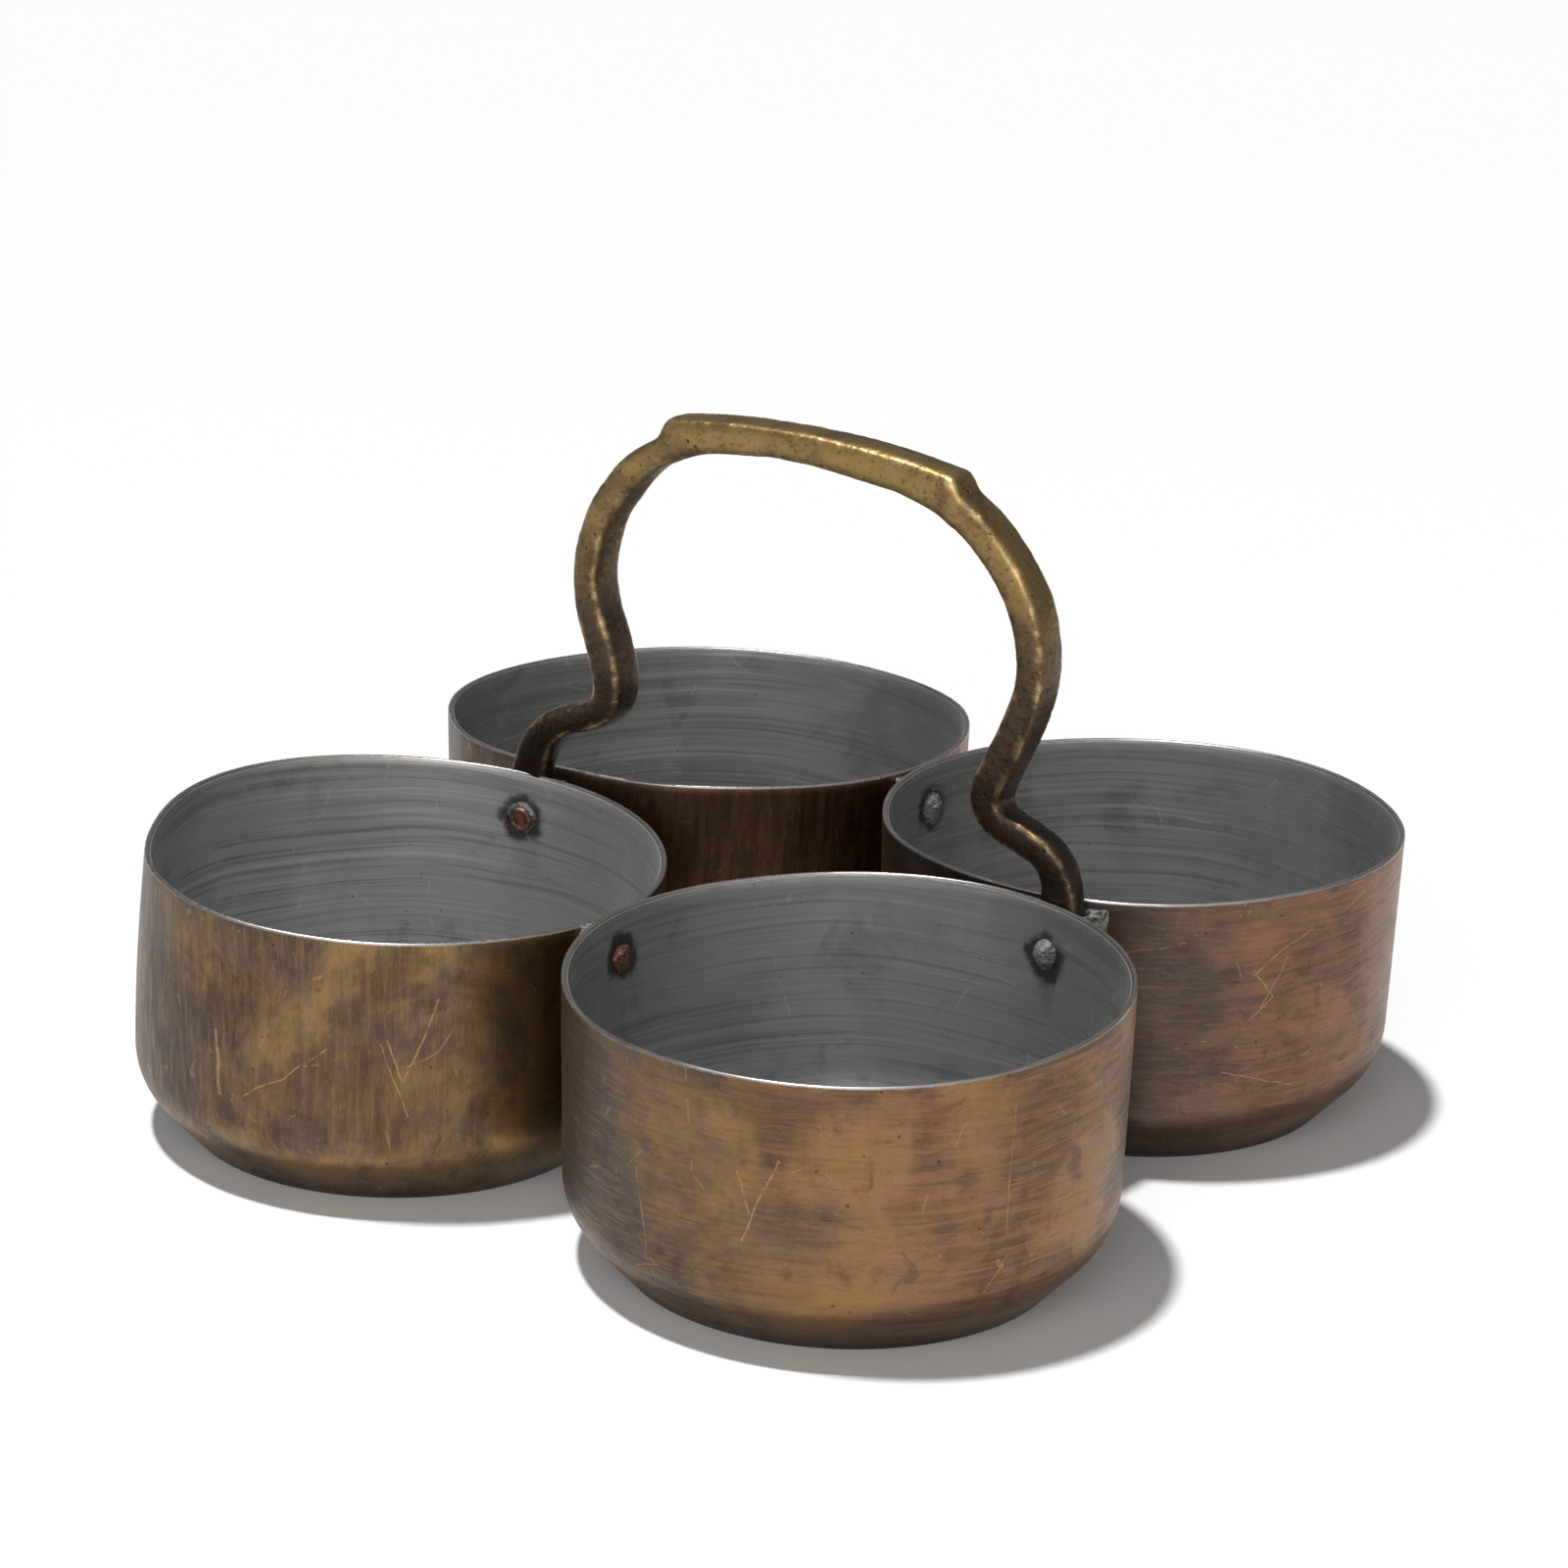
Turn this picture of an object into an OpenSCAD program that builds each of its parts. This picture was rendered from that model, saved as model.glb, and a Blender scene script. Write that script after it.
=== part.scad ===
// Four-bowl food carrier: four raised brass bowls in a two-by-two cluster, riveted to each other
// and to one cast brass bail handle whose feet stand between the left and the right pair.
// The origin is on the floor under the middle of the cluster, +Z up, +X along the front pair.

/* [Bowls] */
// Outer diameter of the front bowl at the rim
dia_front = 140; // [110:1:180]
// Outer diameter of the left bowl at the rim
dia_left = 138; // [110:1:180]
// Outer diameter of the back bowl at the rim
dia_back = 146; // [110:1:180]
// Outer diameter of the right bowl at the rim
dia_right = 138; // [110:1:180]
// Height of the bowls
bowl_h = 74.5; // [60:0.5:110]
// Thickness of the brass sheet
wall_t = 1.4; // [0.8:0.1:2.5]
// Thickness of the tin on the inside
tin_t = 0.25; // [0.15:0.05:0.5]
// Lean of the wall from upright, in degrees
wall_draft = 1.9; // [0:0.1:4]
// Radius of the round corner between wall and bottom
corner_r = 20; // [10:0.5:24]
// Height at which the round corner meets the wall
corner_top = 23; // [20:0.5:30]
// Flat of the bottom, measured inward from the rim
base_inset = 16.5; // [14:0.5:20]
// Distance of the tin's upper edge below the rim
tin_drop = 0.6; // [0.2:0.1:3]

/* [Cluster] */
// Gap between the rims of a pair riveted wall to wall
pair_gap = 0.3; // [0.2:0.1:2]
// Gap between the rims of the left and the back bowl
gap_left = 5; // [3:0.5:10]
// Gap between the rims of the front and the right bowl
gap_right = 5; // [3:0.5:10]
// Distance of the back bowl's middle to the left of the left bowl's
back_shift = 7.8; // [0:0.2:12]

/* [Handle] */
// Distance of the left foot outside the middle of the left bowl
foot_out_left = 11; // [6:0.5:14]
// Distance of the right foot outside the middle of the front bowl
foot_out_right = 14.5; // [6:0.5:18]
// Height of the grip's middle above the rim
grip_rise = 104; // [80:1:130]
// Depth of the bar, from the front face to the back face
bar_depth = 10.5; // [8:0.5:14]
// Thickness of the bar in the plane of the handle
bar_w = 8; // [6:0.5:10]
// Width of the bar's bevelled edges
bar_bevel = 1.6; // [0.8:0.1:2.4]
// Length of the raised pad on the grip
pad_l = 87; // [60:1:100]
// Height of the pad's top above the middle of the bar
pad_rise = 5; // [4.5:0.1:7]
// Thickness of the pad, which sinks into the bar
pad_t = 6.5; // [5:0.5:9]
// Depth of the pad, from front to back
pad_depth = 11.5; // [9:0.5:14]
// Width of the foot between the walls
foot_w = 13; // [11:0.5:16]
// Thickness of the foot where the walls leave it room
foot_t = 8; // [6:0.5:10]
// Length of the foot below the rim
foot_drop = 22; // [18:0.5:30]
// Gap between the foot's faces and the bowls
foot_fit = 0.1; // [0.05:0.05:0.5]

/* [Rivets] */
// Diameter of the rivets
rivet_d = 4; // [3:0.1:5]
// Gap between a rivet and its hole, all round
rivet_fit = 0.1; // [0.05:0.05:0.3]
// Depth of the rivets below the rim
rivet_drop = 12.5; // [10:0.5:16]
// Diameter of the domed heads
head_d = 8; // [6.5:0.1:9]
// Height of the domed heads
head_h = 2.4; // [1.6:0.1:3]
// Diameter of the washers under the hammered ends
rove_d = 9; // [8:0.1:10]
// Thickness of the washers
rove_t = 1; // [0.6:0.1:1.5]
// Diameter of the hammered ends
peen_d = 6.6; // [5.8:0.1:7.5]
// Thickness of the hammered ends
peen_t = 1.1; // [0.8:0.1:1.6]
// Gap between the heads and washers and the tin they bear on
seat_fit = 0.03; // [0.02:0.01:0.1]

/* [Solder] */
// Width of the solder on each side of a foot
foot_solder_w = 2.5; // [1.5:0.5:5]
// Height of the solder beside a foot
foot_solder_h = 8; // [5:0.5:14]
// Length of the solder along a seam between two walls
seam_solder_l = 26; // [16:1:34]
// Height of the solder along a seam
seam_solder_h = 5; // [3:0.5:8]
// Distance of the solder's upper edge below the rim
solder_drop = 1.5; // [1:0.5:6]
// Gap between the solder and what it stands against
solder_fit = 0.03; // [0.02:0.01:0.1]

/* [Hidden] */
$fn = 96;
bowl_fn = 360;

// The bowls by number, and their rim radii
FRONT = 0;
LEFT = 1;
BACK = 2;
RIGHT = 3;
rim_r = [dia_front, dia_left, dia_back, dia_right] / 2;

// The cluster from the left bowl: each bowl touches one neighbour and stands off the other
step_x = rim_r[LEFT] + rim_r[FRONT] + pair_gap;
left_raw = [0, 0];
front_raw = [step_x, 0];
span_left = rim_r[LEFT] + rim_r[BACK] + gap_left;
back_raw = [-back_shift, sqrt(pow(span_left, 2) - pow(back_shift, 2))];
right_raw = meeting_point(back_raw, rim_r[BACK] + rim_r[RIGHT] + pair_gap,
                          front_raw, rim_r[FRONT] + rim_r[RIGHT] + gap_right);
raw = [front_raw, left_raw, back_raw, right_raw];

// The cluster is moved so that its outer box is centred on the origin
lowest = [for (a = [0, 1]) min([for (i = [0:3]) raw[i][a] - rim_r[i]])];
highest = [for (a = [0, 1]) max([for (i = [0:3]) raw[i][a] + rim_r[i]])];
middle = (lowest + highest) / 2;
at = [for (i = [0:3]) raw[i] - middle];

// The corner of two distances from two points, on the side towards +X and +Y
function meeting_point(a, ra, b, rb) =
    let (d = norm(b - a))
    let (u = (b - a) / d)
    let (k = (ra * ra - rb * rb + d * d) / (2 * d))
    let (s = sqrt(ra * ra - k * k))
    a + k * u + s * [-u[1], u[0]];

// The bowl's section: wall line, round corner, cone and flat, each moved inward by t
function wall_r(r, z, t) = r - (bowl_h - z) * tan(wall_draft) - t / cos(wall_draft);
function corner_x(r) = wall_r(r, corner_top, 0) - corner_r * cos(wall_draft);
corner_z = corner_top + corner_r * sin(wall_draft);
function cone_reach(r) = [r - base_inset, 0] - [corner_x(r), corner_z];
function cone_turn(r) = atan2(cone_reach(r)[1], cone_reach(r)[0]) + acos(corner_r / norm(cone_reach(r)));
function flat_r(r, t) = r - base_inset - t * tan((90 + cone_turn(r)) / 2);
function corner(r, t, steps = 8) = [
    for (k = [0:steps])
        let (a = cone_turn(r) + (-wall_draft - cone_turn(r)) * k / steps)
        [corner_x(r) + (corner_r - t) * cos(a), corner_z + (corner_r - t) * sin(a)]
];
function section_line(r, t, top) = concat([[0, t], [flat_r(r, t), t]], corner(r, t), [[wall_r(r, top, t), top]]);

// Solid of revolution filling a bowl up to the height top, its surface moved inward by t
module fill(i, t, top) {
    translate([at[i][0], at[i][1], 0])
        rotate_extrude($fn = bowl_fn) polygon(concat(section_line(rim_r[i], t, top), [[0, top]]));
}

// Open shell between two such surfaces
module shell(i, t_out, t_in, top) {
    line_out = section_line(rim_r[i], t_out, top);
    line_in = section_line(rim_r[i], t_in, top);
    count = len(line_in);
    translate([at[i][0], at[i][1], 0])
        rotate_extrude($fn = bowl_fn) polygon(concat(line_out, [for (k = [1:count]) line_in[count - k]]));
}

// The feet of the handle: where each stands, and the line that joins them
inner_t = wall_t + tin_t;
rivet_z = bowl_h - rivet_drop;
foot_x = [at[LEFT][0] - foot_out_left, at[FRONT][0] + foot_out_right];
function front_face_y(i, x, z) = at[i][1] - sqrt(pow(wall_r(rim_r[i], z, 0), 2) - pow(x - at[i][0], 2));
function back_face_y(i, x, z) = at[i][1] + sqrt(pow(wall_r(rim_r[i], z, 0), 2) - pow(x - at[i][0], 2));
foot_y = [(back_face_y(LEFT, foot_x[0], rivet_z) + front_face_y(BACK, foot_x[0], rivet_z)) / 2,
          (back_face_y(FRONT, foot_x[1], rivet_z) + front_face_y(RIGHT, foot_x[1], rivet_z)) / 2];
handle_turn = atan2(foot_y[1] - foot_y[0], foot_x[1] - foot_x[0]);
foot_span = norm([foot_x[1] - foot_x[0], foot_y[1] - foot_y[0]]);

// Each rivet runs from one bowl's wall to another's: [bowl, bearing] at its head and at its hammered end
function pair_bearing(i, j) = atan2(at[j][1] - at[i][1], at[j][0] - at[i][0]);
function foot_bearing(i, foot, side) =
    side * acos((foot_x[foot] - at[i][0]) / wall_r(rim_r[i], rivet_z, inner_t));
ends = [
    [[FRONT, pair_bearing(FRONT, LEFT)], [LEFT, pair_bearing(LEFT, FRONT)]],
    [[RIGHT, pair_bearing(RIGHT, BACK)], [BACK, pair_bearing(BACK, RIGHT)]],
    [[BACK, foot_bearing(BACK, 0, -1)], [LEFT, foot_bearing(LEFT, 0, 1)]],
    [[FRONT, foot_bearing(FRONT, 1, 1)], [RIGHT, foot_bearing(RIGHT, 1, -1)]],
];
function end_place(e) =
    at[e[0]] + wall_r(rim_r[e[0]], rivet_z, inner_t) * [cos(e[1]), sin(e[1])];

// Children stand on the inner wall at one end of a rivet, with +Z pointing into the bowl
module on_wall(e) {
    p = end_place(e);
    translate([p[0], p[1], rivet_z]) rotate([0, 0, e[1]]) rotate([0, -90, 0]) children();
}

// Straight cylinder from one end of rivet r to the other, made longer by extra at each end
module shank(r, d, extra) {
    a = end_place(ends[r][0]);
    b = end_place(ends[r][1]);
    translate([a[0], a[1], rivet_z])
        rotate([0, 0, atan2(b[1] - a[1], b[0] - a[0])])
            translate([-extra, 0, 0]) rotate([0, 90, 0]) cylinder(h = norm(b - a) + 2 * extra, d = d);
}

module bowl(i) {
    color("peru") difference() {
        shell(i, 0, wall_t, bowl_h);
        holes_in(i, wall_t * 2);
    }
}

module tin_lining(i) {
    color("dimgray") difference() {
        shell(i, wall_t, inner_t, bowl_h - tin_drop);
        holes_in(i, wall_t * 2);
    }
}

// The holes of every rivet that ends in bowl i
module holes_in(i, extra) {
    for (r = [0:3])
        if (ends[r][0][0] == i || ends[r][1][0] == i) shank(r, rivet_d + 2 * rivet_fit, extra);
}

// Spherical cap of the given width and height on a short stem that is trimmed by the wall
module dome(d, h) {
    ball = (d * d / 4 + h * h) / (2 * h);
    intersection() {
        translate([0, 0, h - ball]) sphere(r = ball);
        translate([0, 0, -h]) cylinder(h = 3 * h, d = d);
    }
    translate([0, 0, -h]) cylinder(h = h * 1.001, d = d);
}

module rivet(r) {
    head = ends[r][0];
    tail = ends[r][1];
    color("sienna") {
        shank(r, rivet_d, rove_t + peen_t / 2);
        intersection() {
            on_wall(head) dome(head_d, head_h);
            fill(head[0], inner_t + seat_fit, bowl_h);
        }
        intersection() {
            on_wall(tail) translate([0, 0, rove_t]) cylinder(h = peen_t, d1 = peen_d, d2 = peen_d - peen_t / 2);
            fill(tail[0], inner_t + seat_fit, bowl_h);
        }
    }
}

module rove(r) {
    tail = ends[r][1];
    color("lightgray") difference() {
        intersection() {
            on_wall(tail) translate([0, 0, -rove_t]) cylinder(h = rove_t * 2, d = rove_d);
            fill(tail[0], inner_t + seat_fit, bowl_h);
        }
        shank(r, rivet_d + 2 * rivet_fit, rove_t * 3);
    }
}

// Middle line of the bar in the handle's plane: [share of the foot span, height above the rim,
// width as a share of bar_w, depth as a share of bar_depth], from the left foot to the right one
bar_line = [
    [0.000, -3, 1.30, 0.60], [0.010, 5, 1.15, 0.62], [0.030, 12, 1.05, 0.70],
    [0.070, 17, 0.90, 0.80], [0.115, 19.5, 0.90, 0.90], [0.152, 24, 1.00, 0.96],
    [0.160, 31, 1.05, 1.00], [0.146, 40, 1.05, 1.00], [0.122, 51, 1.00, 1.00],
    [0.117, 62, 0.95, 1.00], [0.138, 75, 0.95, 1.00], [0.180, 86, 0.95, 1.00],
    [0.228, 93.5, 0.88, 1.00], [0.285, 98.5, 0.84, 1.00], [0.355, 102, 0.86, 1.00],
    [0.470, 104, 0.88, 1.00], [0.590, 103.5, 0.88, 1.00], [0.700, 101.5, 0.92, 1.00],
    [0.775, 98, 1.00, 1.00], [0.838, 91.5, 1.00, 1.00], [0.888, 83, 1.00, 1.00],
    [0.920, 74, 0.98, 1.00], [0.936, 63, 0.95, 1.00], [0.932, 53, 0.95, 1.00],
    [0.910, 42, 1.00, 1.00], [0.880, 31, 1.00, 1.00], [0.868, 24, 1.00, 0.96],
    [0.885, 18.5, 0.95, 0.88], [0.930, 15.5, 0.92, 0.80], [0.972, 12, 0.95, 0.74],
    [0.995, 6, 1.05, 0.70], [1.000, -3, 1.20, 0.70],
];
rise_ref = 104;
smooth_steps = 3;

// A station in millimetres; everything above the knees moves with the height of the grip
function station(k) =
    let (s = bar_line[k])
    [s[0] * foot_span, bowl_h + (s[1] < 20 ? s[1] : 20 + (s[1] - 20) * (grip_rise - 20) / (rise_ref - 20)),
     s[2] * bar_w, s[3] * bar_depth];
function clamped(k) = station(max(0, min(len(bar_line) - 1, k)));
function spline(a, b, c, d, u) =
    0.5 * (2 * b + (c - a) * u + (2 * a - 5 * b + 4 * c - d) * u * u + (3 * b - a - 3 * c + d) * u * u * u);
stations = concat([
    for (k = [0:len(bar_line) - 2]) for (j = [0:smooth_steps - 1])
        spline(clamped(k - 1), clamped(k), clamped(k + 1), clamped(k + 2), j / smooth_steps)
], [station(len(bar_line) - 1)]);

// One ring of the bar: a rectangle with bevelled corners, square to the middle line
function ring(k) =
    let (last = len(stations) - 1)
    let (ahead = stations[min(k + 1, last)] - stations[max(k - 1, 0)])
    let (slope = atan2(ahead[1], ahead[0]))
    let (w = stations[k][2] / 2)
    let (d = stations[k][3] / 2)
    [for (c = [[w - bar_bevel, d], [w, d - bar_bevel], [w, bar_bevel - d], [w - bar_bevel, -d],
               [bar_bevel - w, -d], [-w, bar_bevel - d], [-w, d - bar_bevel], [bar_bevel - w, d]])
        [stations[k][0] - c[0] * sin(slope), c[1], stations[k][1] + c[0] * cos(slope)]];
ring_n = 8;

module bar() {
    last = len(stations) - 1;
    points = [for (k = [0:last]) each ring(k)];
    sides = [
        for (k = [0:last - 1]) for (j = [0:ring_n - 1])
            let (a = k * ring_n + j)
            let (b = k * ring_n + (j + 1) % ring_n)
            [a, a + ring_n, b + ring_n, b]
    ];
    caps = [[for (j = [0:ring_n - 1]) j], [for (j = [ring_n - 1:-1:0]) last * ring_n + j]];
    polyhedron(points, concat(sides, caps), convexity = 8);
}

// The raised pad: an arc of revolution over the middle of the grip, thick enough to enter the bar
pad_r = 250;
pad_mid = 0.525;
module pad() {
    top = bowl_h + grip_rise + pad_rise;
    half_turn = asin(pad_l / 2 / pad_r);
    translate([pad_mid * foot_span, 0, top - pad_r])
        rotate([90, 0, 0]) rotate([0, 0, 90 - half_turn])
            rotate_extrude(angle = 2 * half_turn)
                polygon([[pad_r - pad_t, bar_depth / 2 - bar_bevel], [pad_r - bar_bevel, pad_depth / 2],
                         [pad_r, pad_depth / 2 - bar_bevel], [pad_r, bar_bevel - pad_depth / 2],
                         [pad_r - bar_bevel, -pad_depth / 2], [pad_r - pad_t, bar_bevel - bar_depth / 2]]);
}

// A foot: a tongue with a round lower end, made larger all round by gap
module foot(x, gap = 0) {
    low = bowl_h - foot_drop + foot_w / 2;
    translate([x, foot_t / 2 + gap, 0]) rotate([90, 0, 0]) linear_extrude(foot_t + 2 * gap) union() {
        translate([0, low]) circle(d = foot_w + 2 * gap);
        translate([-foot_w / 2 - gap, low]) square([foot_w + 2 * gap, bowl_h - low + gap]);
    }
}

// Children are drawn with +X from the left foot to the right one and the handle's plane at y = 0
module in_handle_plane() {
    translate([foot_x[0], foot_y[0], 0]) rotate([0, 0, handle_turn]) children();
}

// The outsides of some bowls, made larger by gap, to cut away what would reach into them
module outer_faces(bowls, gap, top) {
    for (i = bowls) fill(i, -gap, top);
}

module handle() {
    color("darkgoldenrod") {
        difference() {
            in_handle_plane() {
                bar();
                pad();
            }
            outer_faces([FRONT, LEFT, BACK, RIGHT], foot_fit, bowl_h + foot_fit);
        }
        difference() {
            in_handle_plane() {
                foot(0);
                foot(foot_span);
            }
            outer_faces([FRONT, LEFT, BACK, RIGHT], foot_fit, bowl_h + foot_fit);
            for (r = [2, 3]) shank(r, rivet_d + 2 * rivet_fit, 0);
        }
    }
}

// Solder run into the gap between two walls: around a foot, or along a seam
module solder_at_foot(x, bowls) {
    top = bowl_h - solder_drop;
    long = foot_w + 2 * foot_solder_w;
    color("silver") difference() {
        in_handle_plane() translate([x - long / 2, -pad_depth, top - foot_solder_h])
            cube([long, 2 * pad_depth, foot_solder_h]);
        outer_faces(bowls, solder_fit, bowl_h);
        in_handle_plane() foot(x, solder_fit);
    }
}

module solder_on_seam(i, j) {
    top = bowl_h - solder_drop;
    seam = at[i] + (rim_r[i] + pair_gap / 2) * [cos(pair_bearing(i, j)), sin(pair_bearing(i, j))];
    color("silver") difference() {
        translate([seam[0], seam[1], top - seam_solder_h]) rotate([0, 0, pair_bearing(i, j)])
            translate([-seam_solder_l / 2, -seam_solder_l / 2, 0]) cube([seam_solder_l, seam_solder_l, seam_solder_h]);
        outer_faces([i, j], solder_fit, bowl_h);
    }
}

bowl(FRONT);  // bowl_front
bowl(LEFT);  // bowl_left
bowl(BACK);  // bowl_back
bowl(RIGHT);  // bowl_right
tin_lining(FRONT);  // tin_lining_front
tin_lining(LEFT);  // tin_lining_left
tin_lining(BACK);  // tin_lining_back
tin_lining(RIGHT);  // tin_lining_right
handle();
rivet(0);  // rivet_left_front
rivet(1);  // rivet_back_right
rivet(2);  // rivet_left_foot
rivet(3);  // rivet_right_foot
rove(0);  // rove_left_front
rove(1);  // rove_back_right
rove(2);  // rove_left_foot
rove(3);  // rove_right_foot
solder_on_seam(LEFT, FRONT);  // solder_left_front
solder_on_seam(BACK, RIGHT);  // solder_back_right
solder_at_foot(0, [LEFT, BACK]);  // solder_left_foot
solder_at_foot(foot_span, [FRONT, RIGHT]);  // solder_right_foot
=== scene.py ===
import logging
from collections.abc import Callable
from dataclasses import dataclass, field, replace
from enum import Enum
from math import acos, atan2, cos, hypot, pi, radians, sin, tan

import bmesh
import bpy
import numpy as np
from mathutils import Matrix, Vector


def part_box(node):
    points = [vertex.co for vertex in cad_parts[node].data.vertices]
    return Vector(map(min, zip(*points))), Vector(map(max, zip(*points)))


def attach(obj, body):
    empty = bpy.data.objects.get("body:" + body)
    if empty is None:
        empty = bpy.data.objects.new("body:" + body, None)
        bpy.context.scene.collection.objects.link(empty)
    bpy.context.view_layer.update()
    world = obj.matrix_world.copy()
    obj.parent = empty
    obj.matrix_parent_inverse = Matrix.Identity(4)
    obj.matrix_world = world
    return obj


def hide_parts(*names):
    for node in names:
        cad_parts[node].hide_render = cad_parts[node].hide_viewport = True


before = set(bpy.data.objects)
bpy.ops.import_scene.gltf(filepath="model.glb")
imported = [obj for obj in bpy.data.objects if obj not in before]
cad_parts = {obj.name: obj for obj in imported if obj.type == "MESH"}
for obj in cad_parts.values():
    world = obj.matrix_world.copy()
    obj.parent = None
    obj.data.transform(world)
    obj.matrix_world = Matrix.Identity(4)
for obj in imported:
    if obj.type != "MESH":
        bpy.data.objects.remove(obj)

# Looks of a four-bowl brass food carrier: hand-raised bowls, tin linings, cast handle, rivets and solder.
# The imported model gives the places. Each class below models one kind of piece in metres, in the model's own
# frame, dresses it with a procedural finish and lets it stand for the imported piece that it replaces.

LOG = logging.getLogger("carrier")
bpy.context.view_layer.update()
BODY = "root"
MM = 0.001


# ----------------------------------------------------------------------------
# Mesh helpers
# ----------------------------------------------------------------------------

def deselect_all() -> None:
    """Leaves object mode's selection empty."""
    if bpy.context.object and bpy.context.object.mode != "OBJECT":
        bpy.ops.object.mode_set(mode="OBJECT")
    bpy.ops.object.select_all(action="DESELECT")


def activate(piece: bpy.types.Object) -> None:
    """Makes one piece the only selected and the active one."""
    deselect_all()
    piece.select_set(True)
    bpy.context.view_layer.objects.active = piece


def new_piece(name: str) -> bpy.types.Object:
    """Names the primitive that was just added.

    Args:
        name: The piece's name.

    Returns:
        The active object, with its mesh named alike.
    """
    piece = bpy.context.active_object
    piece.name = name
    piece.data.name = name
    return piece


def edit_select(piece: bpy.types.Object, kind: str, test: Callable[[object], bool]) -> int:
    """Selects the vertices, edges or faces of the piece in edit mode that pass a test.

    Args:
        piece: The active piece, in edit mode.
        kind: "verts", "edges" or "faces".
        test: A function of one element that says whether it is wanted.

    Returns:
        How many elements were selected.
    """
    modes = {"verts": "VERT", "edges": "EDGE", "faces": "FACE"}
    bpy.ops.mesh.select_mode(type=modes[kind])
    bpy.ops.mesh.select_all(action="DESELECT")
    mesh = bmesh.from_edit_mesh(piece.data)
    count = 0
    for element in getattr(mesh, kind):
        if test(element):
            element.select_set(True)
            count += 1
    mesh.select_flush_mode()
    bmesh.update_edit_mesh(piece.data)
    return count


def apply_modifier(piece: bpy.types.Object, kind: str, **settings: object) -> None:
    """Adds one modifier with the given settings and applies it to the mesh.

    Args:
        piece: The piece to change.
        kind: Blender's name of the modifier type.
        **settings: The modifier's properties.
    """
    activate(piece)
    modifier = piece.modifiers.new(kind.lower(), kind)
    for key, value in settings.items():
        setattr(modifier, key, value)
    bpy.ops.object.modifier_apply(modifier=modifier.name)


def subdivide(piece: bpy.types.Object, levels: int) -> None:
    """Smooths the piece with an applied Subdivision Surface of the given levels."""
    apply_modifier(piece, "SUBSURF", levels=levels, render_levels=levels)


def smooth_shade(piece: bpy.types.Object, angle: float = 50.0) -> None:
    """Shades the piece smooth up to an angle in degrees."""
    activate(piece)
    bpy.ops.object.shade_smooth_by_angle(angle=radians(angle))


def place(piece: bpy.types.Object, matrix: Matrix) -> None:
    """Moves the piece's mesh by a matrix, so that its object stays at the origin."""
    piece.matrix_world = matrix
    activate(piece)
    bpy.ops.object.transform_apply(location=True, rotation=True, scale=True)


def points_of(piece: bpy.types.Object) -> np.ndarray:
    """Returns the piece's vertices as an array of rows."""
    flat = np.zeros(len(piece.data.vertices) * 3)
    piece.data.vertices.foreach_get("co", flat)
    return flat.reshape(-1, 3)


def set_points(piece: bpy.types.Object, points: np.ndarray) -> None:
    """Writes an array of rows back as the piece's vertices."""
    piece.data.vertices.foreach_set("co", points.ravel())
    piece.data.update()


def store(piece: bpy.types.Object, name: str, values: np.ndarray) -> None:
    """Stores one number per vertex as a named attribute for the finishes."""
    attribute = piece.data.attributes.new(name, "FLOAT", "POINT")
    attribute.data.foreach_set("value", values.astype(np.float32))


def store_convexity(piece: bpy.types.Object, rounds: int = 3) -> None:
    """Stores how far each vertex stands out from its neighbours, as the attribute convexity.

    Args:
        piece: The finished piece.
        rounds: How many times the values are averaged with their neighbours'.
    """
    mesh = piece.data
    points = points_of(piece)
    normals = np.zeros(len(mesh.vertices) * 3)
    mesh.vertices.foreach_get("normal", normals)
    normals = normals.reshape(-1, 3)
    ends = np.zeros(len(mesh.edges) * 2, dtype=np.int64)
    mesh.edges.foreach_get("vertices", ends)
    a, b = ends.reshape(-1, 2).T
    step = points[b] - points[a]
    length = np.linalg.norm(step, axis=1) + 1e-9
    count = np.zeros(len(points))
    total = np.zeros(len(points))
    np.add.at(count, a, 1)
    np.add.at(count, b, 1)
    np.add.at(total, a, -(step * normals[a]).sum(1) / length)
    np.add.at(total, b, (step * normals[b]).sum(1) / length)
    value = total / np.maximum(count, 1)
    for _ in range(rounds):
        total = value.copy()
        np.add.at(total, a, value[b])
        np.add.at(total, b, value[a])
        value = total / (count + 1)
    store(piece, "convexity", value)


def roughen(piece: bpy.types.Object, size: float, height: float, seed: int, depth: int = 2) -> None:
    """Moves the surface in and out by a soft cloud pattern, as hand work or casting leaves it.

    Args:
        piece: The piece to change.
        size: Width of the waves in metres.
        height: Largest movement in metres.
        seed: Which part of the pattern is used.
        depth: How many finer layers the pattern has.
    """
    cloud = bpy.data.textures.new(f"{piece.name}_{seed}", "CLOUDS")
    cloud.noise_scale = size
    cloud.noise_depth = depth
    shifted = points_of(piece)
    offset = np.array([0.37, 0.61, 0.83]) * seed
    set_points(piece, shifted + offset)
    apply_modifier(piece, "DISPLACE", texture=cloud, texture_coords="LOCAL", strength=height, mid_level=0.5)
    set_points(piece, points_of(piece) - offset)


# ----------------------------------------------------------------------------
# Node graphs
# ----------------------------------------------------------------------------

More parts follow.
